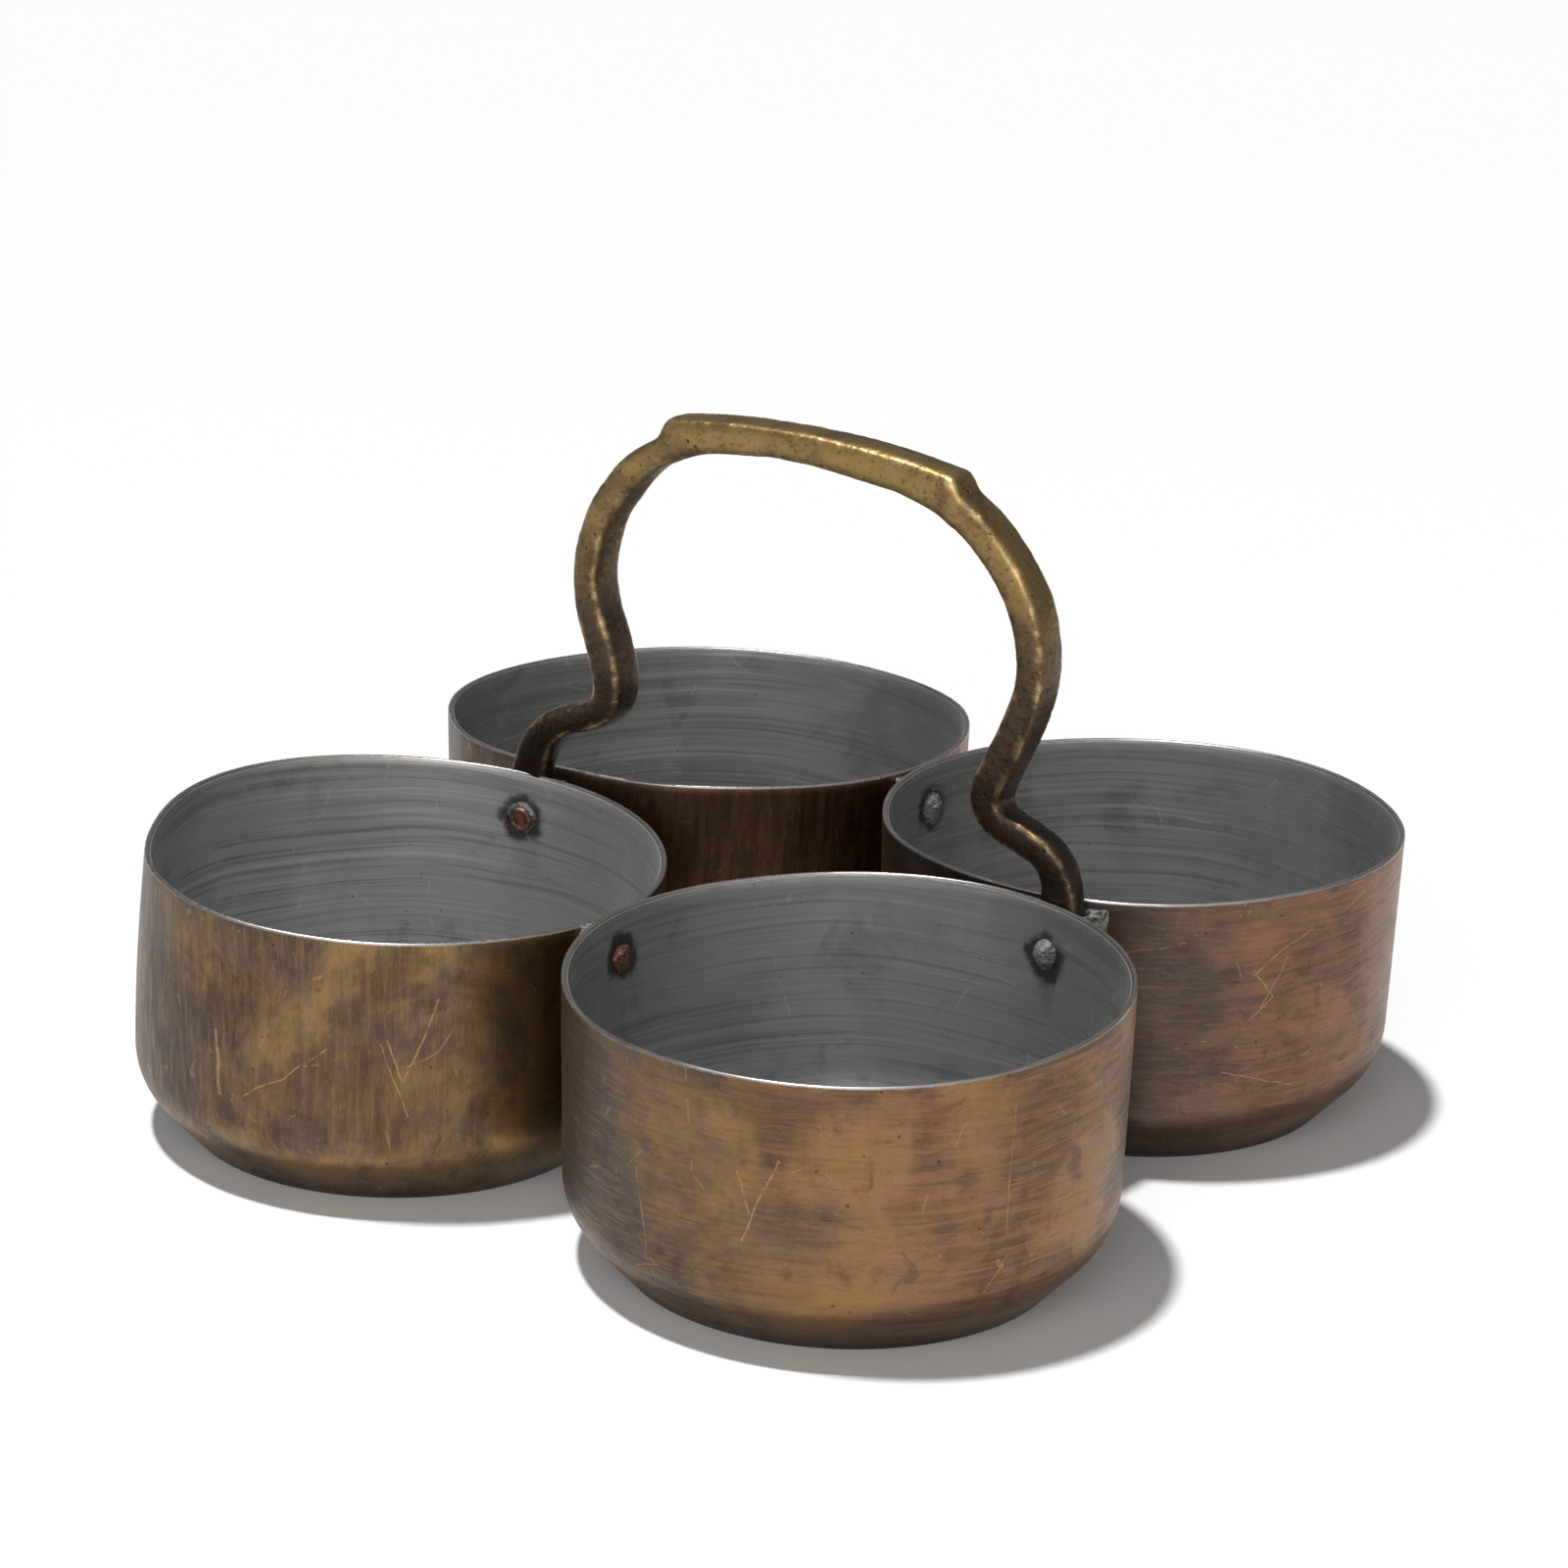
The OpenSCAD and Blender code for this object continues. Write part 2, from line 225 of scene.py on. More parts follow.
class Graph:
    """Short calls that build one node tree, for a finish or for a shared effect."""

    def __init__(self, tree: bpy.types.NodeTree) -> None:
        """Starts on an emptied tree."""
        self.tree = tree
        tree.nodes.clear()

    def put(self, socket: bpy.types.NodeSocket, value: object) -> None:
        """Links a socket to another, or sets its value when it gets a constant."""
        if isinstance(value, bpy.types.NodeSocket):
            self.tree.links.new(value, socket)
        else:
            socket.default_value = value

    def node(self, kind: str, inputs: dict, **settings: object) -> bpy.types.Node:
        """Adds one node.

        Args:
            kind: The node type without its "ShaderNode" prefix.
            inputs: Values or sockets by the input's name or number.
            **settings: The node's properties.

        Returns:
            The new node.
        """
        made = self.tree.nodes.new("ShaderNode" + kind)
        for key, value in settings.items():
            setattr(made, key, value)
        for key, value in inputs.items():
            self.put(made.inputs[key], value)
        return made

    def math(self, operation: str, *values: object) -> bpy.types.NodeSocket:
        """Returns the result of one Math node on numbers or sockets."""
        return self.node("Math", dict(enumerate(values)), operation=operation).outputs[0]

    def vector(self, operation: str, *values: object) -> bpy.types.NodeSocket:
        """Returns the vector result of one Vector Math node."""
        return self.node("VectorMath", dict(enumerate(values)), operation=operation).outputs["Vector"]

    def step(self, value: object, low: object, high: object, to_low: object = 0.0,
             to_high: object = 1.0) -> bpy.types.NodeSocket:
        """Returns a value's smooth rise between two limits, as a number between to_low and to_high."""
        inputs = {"Value": value, "From Min": low, "From Max": high, "To Min": to_low, "To Max": to_high}
        return self.node("MapRange", inputs, interpolation_type="SMOOTHSTEP").outputs["Result"]

    def mix(self, share: object, below: object, above: object) -> bpy.types.NodeSocket:
        """Returns a colour between two, by a share from 0 to 1."""
        made = self.node("Mix", {}, data_type="RGBA", clamp_factor=True)
        self.put(made.inputs["Factor"], share)
        for socket, value in zip([s for s in made.inputs if s.type == "RGBA"], (below, above)):
            self.put(socket, value if isinstance(value, bpy.types.NodeSocket) else (*value, 1.0))
        return [s for s in made.outputs if s.type == "RGBA"][0]

    def swing(self, noise: object, amount: float) -> bpy.types.NodeSocket:
        """Returns a noise value's swing about zero, times an amount."""
        return self.math("MULTIPLY", self.math("SUBTRACT", noise, 0.5), amount)

    def noise(self, vector: object, scale: float, detail: float = 3.0, roughness: float = 0.55,
              distortion: float = 0.0) -> bpy.types.NodeSocket:
        """Returns a noise value around 0.5 at features of 1/scale metres."""
        inputs = {"Vector": vector, "Scale": scale, "Detail": detail, "Roughness": roughness,
                  "Distortion": distortion}
        return self.node("TexNoise", inputs).outputs["Fac"]

    def stretched(self, vector: object, stretch: tuple) -> bpy.types.NodeSocket:
        """Returns the vector with each axis multiplied by its own factor."""
        return self.vector("MULTIPLY", vector, stretch)

    def use(self, group: bpy.types.NodeTree, inputs: dict, output: str) -> bpy.types.NodeSocket:
        """Places a shared effect with its own values and returns one of its outputs."""
        made = self.tree.nodes.new("ShaderNodeGroup")
        made.node_tree = group
        for key, value in inputs.items():
            self.put(made.inputs[key], value)
        return made.outputs[output]

    def attribute(self, name: str) -> bpy.types.NodeSocket:
        """Returns a number stored on the piece's vertices."""
        return self.node("Attribute", {}, attribute_name=name, attribute_type="GEOMETRY").outputs["Fac"]

    def object_place(self, origin: Vector | tuple = (0.0, 0.0, 0.0)) -> bpy.types.NodeSocket:
        """Returns the Object coordinates measured from an origin in metres."""
        coordinates = self.node("TexCoord", {}).outputs["Object"]
        return self.vector("SUBTRACT", coordinates, tuple(origin))


def new_group(name: str, inputs: list, outputs: list) -> tuple:
    """Makes an empty shared effect.

    Args:
        name: The group's name.
        inputs: Pairs of a name and a socket type, "Float", "Vector" or "Color".
        outputs: The same for what it gives.

    Returns:
        The graph, its input sockets by name, and its output sockets by name.
    """
    tree = bpy.data.node_groups.new(name, "ShaderNodeTree")
    graph = Graph(tree)
    for label, kind in inputs:
        tree.interface.new_socket(label, in_out="INPUT", socket_type="NodeSocket" + kind)
    for label, kind in outputs:
        tree.interface.new_socket(label, in_out="OUTPUT", socket_type="NodeSocket" + kind)
    entry = tree.nodes.new("NodeGroupInput")
    leave = tree.nodes.new("NodeGroupOutput")
    given = {label: entry.outputs[label] for label, _ in inputs}
    gives = {label: leave.inputs[label] for label, _ in outputs}
    return graph, given, gives


class Effects:
    """The shared effects, each built once as a node group."""

    def __init__(self) -> None:
        """Builds every group."""
        self.mottle = self._mottle()
        self.hairlines = self._hairlines()
        self.pits = self._pits()
        self.stroke = self._stroke()
        self.wrap = self._wrap()
        self.turning = self._turning()
        self.wear = self._wear()

    @staticmethod
    def _mottle() -> bpy.types.NodeTree:
        """Soft irregular patches: where a cloud pattern passes from Low to High."""
        graph, given, gives = new_group(
            "mottle", [("Vector", "Vector"), ("Scale", "Float"), ("Low", "Float"), ("High", "Float")],
            [("Mask", "Float")])
        cloud = graph.noise(given["Vector"], 1.0, 5.0, 0.6, 0.6)
        graph.put(cloud.node.inputs["Scale"], given["Scale"])
        graph.put(gives["Mask"], graph.step(cloud, given["Low"], given["High"]))
        return graph.tree

    @staticmethod
    def _hairlines() -> bpy.types.NodeTree:
        """Thin broken scratches in changing directions: edges of large warped cells, in places."""
        graph, given, gives = new_group(
            "hairlines",
            [("Vector", "Vector"), ("Scale", "Float"), ("Width", "Float"), ("Amount", "Float")],
            [("Mask", "Float")])
        waves = {"Vector": given["Vector"], "Scale": 60.0, "Detail": 2.0}
        bend = graph.node("TexNoise", waves).outputs["Color"]
        bent = graph.vector("MULTIPLY_ADD", bend, (0.005, 0.005, 0.005), given["Vector"])
        cells = graph.node("TexVoronoi", {"Vector": bent}, feature="DISTANCE_TO_EDGE")
        graph.put(cells.inputs["Scale"], given["Scale"])
        line = graph.math("LESS_THAN", cells.outputs["Distance"], given["Width"])
        patch = graph.noise(given["Vector"], 150.0, 3.0, 0.6)
        shown = graph.math("GREATER_THAN", graph.math("ADD", patch, given["Amount"]), 0.62)
        graph.put(gives["Mask"], graph.math("MULTIPLY", line, shown))
        return graph.tree

    @staticmethod
    def _pits() -> bpy.types.NodeTree:
        """Small dark pits of uneven size, thinned out by a slower pattern."""
        graph, given, gives = new_group(
            "pits", [("Vector", "Vector"), ("Scale", "Float"), ("Size", "Float"), ("Amount", "Float")],
            [("Mask", "Float")])
        cells = graph.node("TexVoronoi", {"Vector": given["Vector"], "Randomness": 1.0}, feature="F1")
        graph.put(cells.inputs["Scale"], given["Scale"])
        keep = graph.node("SeparateColor", {"Color": cells.outputs["Color"]}).outputs[0]
        left_out = graph.math("SUBTRACT", 1.0, given["Amount"])
        size = graph.math("MULTIPLY", given["Size"], graph.math("SUBTRACT", keep, left_out))
        inside = graph.math("SUBTRACT", size, cells.outputs["Distance"])
        made = graph.node("MapRange", {"Value": inside, "From Min": 0.0, "From Max": 0.08})
        graph.put(gives["Mask"], made.outputs["Result"])
        return graph.tree

    @staticmethod
    def _stroke() -> bpy.types.NodeTree:
        """One straight scratch from Start to End on an unrolled wall."""
        graph, given, gives = new_group(
            "stroke", [("Place", "Vector"), ("Start", "Vector"), ("End", "Vector"), ("Width", "Float")],
            [("Mask", "Float")])
        away = graph.vector("SUBTRACT", given["Place"], given["Start"])
        along = graph.vector("SUBTRACT", given["End"], given["Start"])
        reach = graph.node("VectorMath", {0: away, 1: along}, operation="DOT_PRODUCT").outputs["Value"]
        whole = graph.node("VectorMath", {0: along, 1: along}, operation="DOT_PRODUCT").outputs["Value"]
        share = graph.node("Math", {0: reach, 1: whole}, operation="DIVIDE", use_clamp=True).outputs[0]
        scaled = graph.node("VectorMath", {0: along, "Scale": share}, operation="SCALE").outputs["Vector"]
        rest = graph.vector("SUBTRACT", away, scaled)
        distance = graph.node("VectorMath", {0: rest}, operation="LENGTH").outputs["Value"]
        edge = graph.math("MULTIPLY", given["Width"], 0.35)
        graph.put(gives["Mask"], graph.step(distance, edge, given["Width"], 1.0, 0.0))
        return graph.tree

    @staticmethod
    def _wrap() -> bpy.types.NodeTree:
        """A round wall unrolled: distance round it and height, from coordinates centred on its axis."""
        graph, given, gives = new_group(
            "wrap", [("Vector", "Vector"), ("Radius", "Float")], [("Place", "Vector")])
        parts = graph.node("SeparateXYZ", {"Vector": given["Vector"]}).outputs
        turn = graph.math("ARCTAN2", parts["Y"], parts["X"])
        round_wall = graph.math("MULTIPLY", turn, given["Radius"])
        made = graph.node("CombineXYZ", {"X": round_wall, "Y": parts["Z"]})
        graph.put(gives["Place"], made.outputs["Vector"])
        return graph.tree

    @staticmethod
    def _turning() -> bpy.types.NodeTree:
        """Fine rings left by turning and wiping: lines along the section, broken up round the bowl."""
        graph, given, gives = new_group(
            "turning", [("Run", "Float"), ("Vector", "Vector"), ("Pitch", "Float")], [("Rings", "Float")])
        wander = graph.noise(given["Vector"], 14.0, 2.0, 0.5)
        shift = graph.swing(wander, 0.006)
        run = graph.math("DIVIDE", graph.math("ADD", given["Run"], shift), given["Pitch"])
        slow = graph.stretched(given["Vector"], (9.0, 9.0, 9.0))
        parts = graph.node("SeparateXYZ", {"Vector": slow}).outputs
        key = graph.node("CombineXYZ", {"X": run, "Y": parts["X"], "Z": parts["Y"]}).outputs["Vector"]
        rings = graph.noise(key, 1.0, 3.0, 0.65)
        graph.put(gives["Rings"], rings)
        return graph.tree

    @staticmethod
    def _wear() -> bpy.types.NodeTree:
        """Where hands and use have rubbed the high edges bright: convexity broken up by a cloud pattern."""
        graph, given, gives = new_group(
            "edge_wear",
            [("Convexity", "Float"), ("Vector", "Vector"), ("Low", "Float"), ("High", "Float")],
            [("Mask", "Float")])
        cloud = graph.noise(given["Vector"], 180.0, 4.0, 0.65)
        lifted = graph.math("MULTIPLY", given["Convexity"], graph.step(cloud, 0.3, 0.7, 0.35, 1.4))
        graph.put(gives["Mask"], graph.step(lifted, given["Low"], given["High"]))
        return graph.tree


def metal(name: str, graph_make: Callable[[Graph], tuple]) -> bpy.types.Material:
    """Makes a metal finish.

    Args:
        name: The material's name.
        graph_make: A function of the graph that returns colour, roughness and bump height in millimetres.

    Returns:
        The finished material.
    """
    material = bpy.data.materials.new(name)
    material.use_nodes = True
    graph = Graph(material.node_tree)
    colour, rough, height = graph_make(graph)
    shader = graph.node("BsdfPrincipled", {"Metallic": 1.0, "Base Color": colour, "Roughness": rough})
    bump = graph.node("Bump", {"Strength": 1.0, "Distance": MM, "Height": height})
    graph.put(shader.inputs["Normal"], bump.outputs["Normal"])
    output = graph.node("OutputMaterial", {})
    graph.put(output.inputs["Surface"], shader.outputs["BSDF"])
    return material


# ----------------------------------------------------------------------------
# Finishes
# ----------------------------------------------------------------------------

class Brushing(Enum):
    """Which way the rubbing marks on a bowl's wall run."""

    ROUND = (1.0, 1.0, 14.0)
    UPRIGHT = (9.0, 9.0, 1.0)


@dataclass(frozen=True)
class Scratch:
    """A deep golden scratch on a bowl's wall, as corners of (bearing in degrees, height in millimetres)."""

    corners: tuple
    width: float = 0.35


@dataclass(frozen=True)
class AgedBrass:
    """Patina of one bowl's outside: warm brass under brown, purple and coppery patches, with scratches;
    painted shade on one side and at the bottom.
    """

    name: str
    brushing: Brushing
    gold: tuple = (0.26, 0.155, 0.065)
    brown: tuple = (0.085, 0.055, 0.038)
    plum: tuple = (0.115, 0.085, 0.085)
    shade: tuple = (0.075, 0.060, 0.058)
    copper: tuple = (0.34, 0.165, 0.095)
    bright: tuple = (0.46, 0.30, 0.12)
    worn: tuple = (0.47, 0.46, 0.45)
    brown_from: float = 0.50
    copper_from: float = 0.60
    # Bearing in degrees of the side of the wall that is darkened as painted shade.
    shaded_side: float = -140.0
    copper_side: float = -15.0
    scratches: tuple = ()
    seed: float = 0.0

    def make(self, effects: Effects, centre: Vector, radius: float) -> bpy.types.Material:
        """Builds the material of one bowl's outside.

        Args:
            effects: The shared node groups.
            centre: The bowl's middle on the floor.
            radius: The bowl's radius at the rim.

        Returns:
            The finished material.
        """
        def build(graph: Graph) -> tuple:
            """Returns colour, roughness and height."""
            local = graph.object_place(centre)
            place_here = graph.vector("ADD", local, (self.seed, 1.7 * self.seed, 0.6 * self.seed))
            cloud = {"Vector": place_here}
            brown = graph.use(effects.mottle, cloud | {"Scale": 26.0, "Low": self.brown_from - 0.08,
                                                       "High": self.brown_from + 0.11}, "Mask")
            plum = graph.use(effects.mottle, cloud | {"Scale": 48.0, "Low": 0.46, "High": 0.68}, "Mask")
            red = graph.use(effects.mottle, {"Vector": graph.vector("ADD", place_here, (3.1, 0.0, 1.3)),
                                             "Scale": 22.0, "Low": self.copper_from,
                                             "High": self.copper_from + 0.14}, "Mask")
            blot = graph.use(effects.mottle, cloud | {"Scale": 120.0, "Low": 0.54, "High": 0.70}, "Mask")
            rub_patch = graph.noise(graph.stretched(place_here, self.brushing.value), 34.0, 5.0, 0.7, 0.8)
            # Painted shade: a mask over the side of the wall that faces the shaded-side bearing, where the
            # light falls off.
            painted_shade_side = self._side(graph, local, radius, self.shaded_side, 0.42, 0.86)
            far_red = self._side(graph, local, radius, self.copper_side, 0.45, 0.98)
            patchy = graph.math("MULTIPLY", far_red, graph.step(rub_patch, 0.40, 0.62, 0.15, 0.9))
            red = graph.math("MAXIMUM", red, patchy)
            strokes = graph.stretched(place_here, self.brushing.value)
            rub = graph.noise(strokes, 70.0, 5.0, 0.7)
            grain = graph.noise(strokes, 420.0, 3.0, 0.7)
            colour = graph.mix(graph.math("MULTIPLY", brown, 0.85), self.gold, self.brown)
            colour = graph.mix(graph.math("MULTIPLY", plum, 0.55), colour, self.plum)
            colour = graph.mix(graph.math("MULTIPLY", red, 0.75), colour, self.copper)
            # Painted shade: that side of the wall is mixed towards the dark shade colour.
            colour = graph.mix(graph.math("MULTIPLY", painted_shade_side, 0.86), colour, self.shade)
            colour = graph.mix(graph.math("MULTIPLY", blot, 0.60), colour, self.brown)
            colour = graph.mix(graph.step(rub, 0.45, 0.72, 0.0, 0.42), colour, self.gold)
            colour = graph.mix(graph.step(rub, 0.46, 0.28, 0.0, 0.45), colour, self.brown)
            colour = graph.mix(graph.step(grain, 0.46, 0.26, 0.0, 0.50), colour, self.brown)
            colour = graph.mix(graph.step(grain, 0.54, 0.76, 0.0, 0.35), colour, self.bright)
            # Painted shade: the wall darkens over its lowest 7.5 mm, towards the floor.
            foot = graph.node("SeparateXYZ", {"Vector": local}).outputs["Z"]
            colour = graph.mix(graph.step(foot, 0.0075, 0.001, 0.0, 0.80), colour, (0.055, 0.04, 0.032))
            fine = graph.use(effects.hairlines,
                             cloud | {"Scale": 42.0, "Width": 0.008, "Amount": 0.03}, "Mask")
            pit = graph.use(effects.pits, cloud | {"Scale": 330.0, "Size": 0.9, "Amount": 0.24}, "Mask")
            marks = self._marks(graph, effects, local, radius)
            colour = graph.mix(graph.math("MULTIPLY", fine, 0.30), colour, self.bright)
            colour = graph.mix(graph.math("MULTIPLY", pit, 0.7), colour, (0.05, 0.03, 0.02))
            colour = graph.mix(graph.math("MULTIPLY", marks, 0.75), colour, self.bright)
            below = graph.attribute("below_rim")
            ragged = graph.math("ADD", below, graph.swing(grain, 0.0012))
            lip = graph.step(ragged, 0.0008, 0.0002)
            colour = graph.mix(graph.math("MULTIPLY", lip, 0.85), colour, self.worn)
            rough = graph.step(rub, 0.3, 0.7, 0.47, 0.34)
            rough = graph.math("ADD", rough, graph.math("MULTIPLY", brown, 0.06))
            rough = graph.math("SUBTRACT", rough, graph.math("MULTIPLY", lip, 0.12))
            height = graph.math("MULTIPLY", grain, 0.012)
            sunk = graph.math("ADD", pit, marks)
            height = graph.math("SUBTRACT", height, graph.math("MULTIPLY", sunk, 0.03))
            swell = graph.noise(local, 90.0, 2.0)
            height = graph.math("ADD", height, graph.math("MULTIPLY", swell, 0.06))
            return colour, rough, height
        return metal(self.name, build)

    @staticmethod
    def _side(graph: Graph, local: bpy.types.NodeSocket, radius: float, bearing: float, low: float,
              high: float) -> bpy.types.NodeSocket:
        """Finds the wall's side that faces a bearing, with a cloudy border.

        Args:
            graph: The finish being built.
            local: Coordinates measured from the bowl's middle.
            radius: The bowl's radius at the rim.
            bearing: Where the side faces, in degrees.
            low: Where its border starts, as a share of the radius.
            high: Where the border ends.

        Returns:
            The mask.
        """
        toward = (cos(radians(bearing)) / radius, sin(radians(bearing)) / radius, 0.0)
        facing = graph.node("VectorMath", {0: local, 1: toward}, operation="DOT_PRODUCT").outputs["Value"]
        cloud = graph.math("SUBTRACT", graph.noise(local, 38.0, 4.0, 0.6), 0.5)
        return graph.step(graph.math("ADD", facing, cloud), low, high)

    def _marks(self, graph: Graph, effects: Effects, local: bpy.types.NodeSocket,
               radius: float) -> bpy.types.NodeSocket:
        """Draws the deep scratches, slightly bent and broken.

        Args:
            graph: The finish being built.
            effects: The shared node groups.
            local: Coordinates measured from the bowl's middle.
            radius: The bowl's radius at the rim.

        Returns:
            The mask.
        """
        bend = graph.node("TexNoise", {"Vector": local, "Scale": 90.0, "Detail": 3.0}).outputs["Color"]
        bent = graph.vector("MULTIPLY_ADD", bend, (0.0022, 0.0022, 0.0022), local)
        flat = graph.use(effects.wrap, {"Vector": bent, "Radius": radius}, "Place")
        total = 0.0
        for scratch in self.scratches:
            spots = [(radians(a) * radius, z * MM, 0.0) for a, z in scratch.corners]
            for start, end in zip(spots, spots[1:]):
                mask = graph.use(effects.stroke, {"Place": flat, "Start": start, "End": end,
                                                  "Width": scratch.width * MM}, "Mask")
                total = graph.math("MAXIMUM", total, mask)
        broken = graph.step(graph.noise(local, 480.0, 3.0, 0.7), 0.36, 0.6, 0.15, 0.9)
        return graph.math("MULTIPLY", total, broken)


@dataclass(frozen=True)
class DullTin:
    """The tinned inside of a bowl: dark grey, with turning rings, wiped patches, stains and specks."""

    name: str
    grey: tuple = (0.31, 0.31, 0.305)
    pale: tuple = (0.50, 0.50, 0.495)
    dark: tuple = (0.17, 0.17, 0.168)
    grime: tuple = (0.05, 0.048, 0.045)
    seed: float = 0.0
    rivets: tuple = ()

    def make(self, effects: Effects, centre: Vector) -> bpy.types.Material:
        """Builds the material of one bowl's lining.

        Args:
            effects: The shared node groups.
            centre: The bowl's middle on the floor.

        Returns:
            The finished material.
        """
        def build(graph: Graph) -> tuple:
            """Returns colour, roughness and height."""
            local = graph.object_place(centre)
            place_here = graph.vector("ADD", local, (self.seed, 0.4 * self.seed, 1.9 * self.seed))
            run = graph.attribute("section_run")
            rings = graph.use(effects.turning, {"Run": run, "Vector": place_here, "Pitch": 0.0011}, "Rings")
            bands = graph.use(effects.turning, {"Run": run, "Vector": place_here, "Pitch": 0.0045}, "Rings")
            cloud = {"Vector": place_here}
            wiped = graph.use(effects.mottle, cloud | {"Scale": 24.0, "Low": 0.42, "High": 0.66}, "Mask")
            stain = graph.use(effects.mottle, cloud | {"Scale": 55.0, "Low": 0.55, "High": 0.70}, "Mask")
            colour = graph.mix(graph.math("MULTIPLY", wiped, 0.35), self.grey, self.pale)
            colour = graph.mix(graph.math("MULTIPLY", stain, 0.45), colour, self.dark)
            colour = graph.mix(graph.step(rings, 0.52, 0.70, 0.0, 0.55), colour, self.pale)
            colour = graph.mix(graph.step(rings, 0.48, 0.32, 0.0, 0.55), colour, self.dark)
            colour = graph.mix(graph.step(bands, 0.46, 0.34, 0.0, 0.30), colour, self.dark)
            speck = graph.use(effects.pits, cloud | {"Scale": 380.0, "Size": 0.9, "Amount": 0.20}, "Mask")
            blob = graph.use(effects.pits, cloud | {"Scale": 110.0, "Size": 0.55, "Amount": 0.14}, "Mask")
            lines = graph.use(effects.hairlines,
                              cloud | {"Scale": 34.0, "Width": 0.007, "Amount": 0.04}, "Mask")
            colour = graph.mix(self._grime_round_rivets(graph, local), colour, self.grime)
            colour = graph.mix(graph.math("MULTIPLY", graph.math("MAXIMUM", speck, blob), 0.65), colour,
                               (0.045, 0.045, 0.045))
            colour = graph.mix(graph.math("MULTIPLY", lines, 0.35), colour, (0.6, 0.6, 0.6))
            rough = graph.step(rings, 0.35, 0.65, 0.68, 0.57)
            rough = graph.math("ADD", rough, graph.math("MULTIPLY", stain, 0.08))
            height = graph.math("MULTIPLY", rings, 0.035)
            height = graph.math("ADD", height, graph.math("MULTIPLY", bands, 0.05))
            height = graph.math("SUBTRACT", height, graph.math("MULTIPLY", speck, 0.03))
            return colour, rough, height
        return metal(self.name, build)

    def _grime_round_rivets(self, graph: Graph, local: bpy.types.NodeSocket) -> bpy.types.NodeSocket:
        """Finds the dirt that gathers round each rivet.

        Args:
            graph: The finish being built.
            local: Coordinates measured from the bowl's middle.

        Returns:
            The mask.
        """
        total = 0.0
        rough_edge = graph.swing(graph.noise(local, 260.0, 4.0), 0.006)
        for spot in self.rivets:
            reach = graph.node("VectorMath", {0: local, 1: spot}, operation="DISTANCE").outputs["Value"]
            ring = graph.step(graph.math("ADD", reach, rough_edge), 0.0078, 0.0048, 0.0, 0.9)
            total = graph.math("MAXIMUM", total, ring)
        return total


@dataclass(frozen=True)
class CastBrass:
    """The cast handle: golden where hands rub it, dark brown low down, pitted, with bright worn edges."""

    name: str = "cast_brass"
    gold: tuple = (0.33, 0.22, 0.088)
    brown: tuple = (0.10, 0.066, 0.045)
    black: tuple = (0.032, 0.025, 0.022)
    bright: tuple = (0.66, 0.47, 0.22)
    dark_height: float = 0.112
    gold_height: float = 0.172

    def make(self, effects: Effects) -> bpy.types.Material:
        """Builds the material.

        Args:
            effects: The shared node groups.

        Returns:
            The finished material.
        """
        def build(graph: Graph) -> tuple:
            """Returns colour, roughness and height."""
            local = graph.object_place()
            cloud = {"Vector": local}
            high = graph.node("SeparateXYZ", {"Vector": local}).outputs["Z"]
            wander = graph.swing(graph.noise(local, 45.0, 4.0), 0.05)
            rubbed = graph.step(graph.math("ADD", high, wander), self.dark_height, self.gold_height)
            colour = graph.mix(rubbed, self.brown, self.gold)
            grime = graph.use(effects.mottle, cloud | {"Scale": 70.0, "Low": 0.46, "High": 0.66}, "Mask")
            colour = graph.mix(graph.math("MULTIPLY", grime, 0.6), colour, self.brown)
            low = graph.step(graph.math("ADD", high, wander), 0.108, 0.078)
            colour = graph.mix(graph.math("MULTIPLY", low, 0.7), colour, self.black)
            skin = graph.noise(local, 620.0, 4.0, 0.7)
            colour = graph.mix(graph.step(skin, 0.47, 0.30, 0.0, 0.65), colour, self.black)
            pit = graph.use(effects.pits, cloud | {"Scale": 420.0, "Size": 1.0, "Amount": 0.30}, "Mask")
            colour = graph.mix(graph.math("MULTIPLY", pit, 0.75), colour, self.black)
            edge = graph.use(effects.wear, cloud | {"Convexity": graph.attribute("convexity"),
                                                    "Low": 0.035, "High": 0.11}, "Mask")
            strength = graph.step(high, 0.075, 0.15, 0.40, 0.85)
            colour = graph.mix(graph.math("MULTIPLY", edge, strength), colour, self.bright)
            rough = graph.step(skin, 0.3, 0.7, 0.46, 0.34)
            rough = graph.math("SUBTRACT", rough, graph.math("MULTIPLY", edge, 0.08))
            height = graph.math("MULTIPLY", skin, 0.22)
            height = graph.math("SUBTRACT", height, graph.math("MULTIPLY", pit, 0.15))
            return colour, rough, height
        return metal(self.name, build)


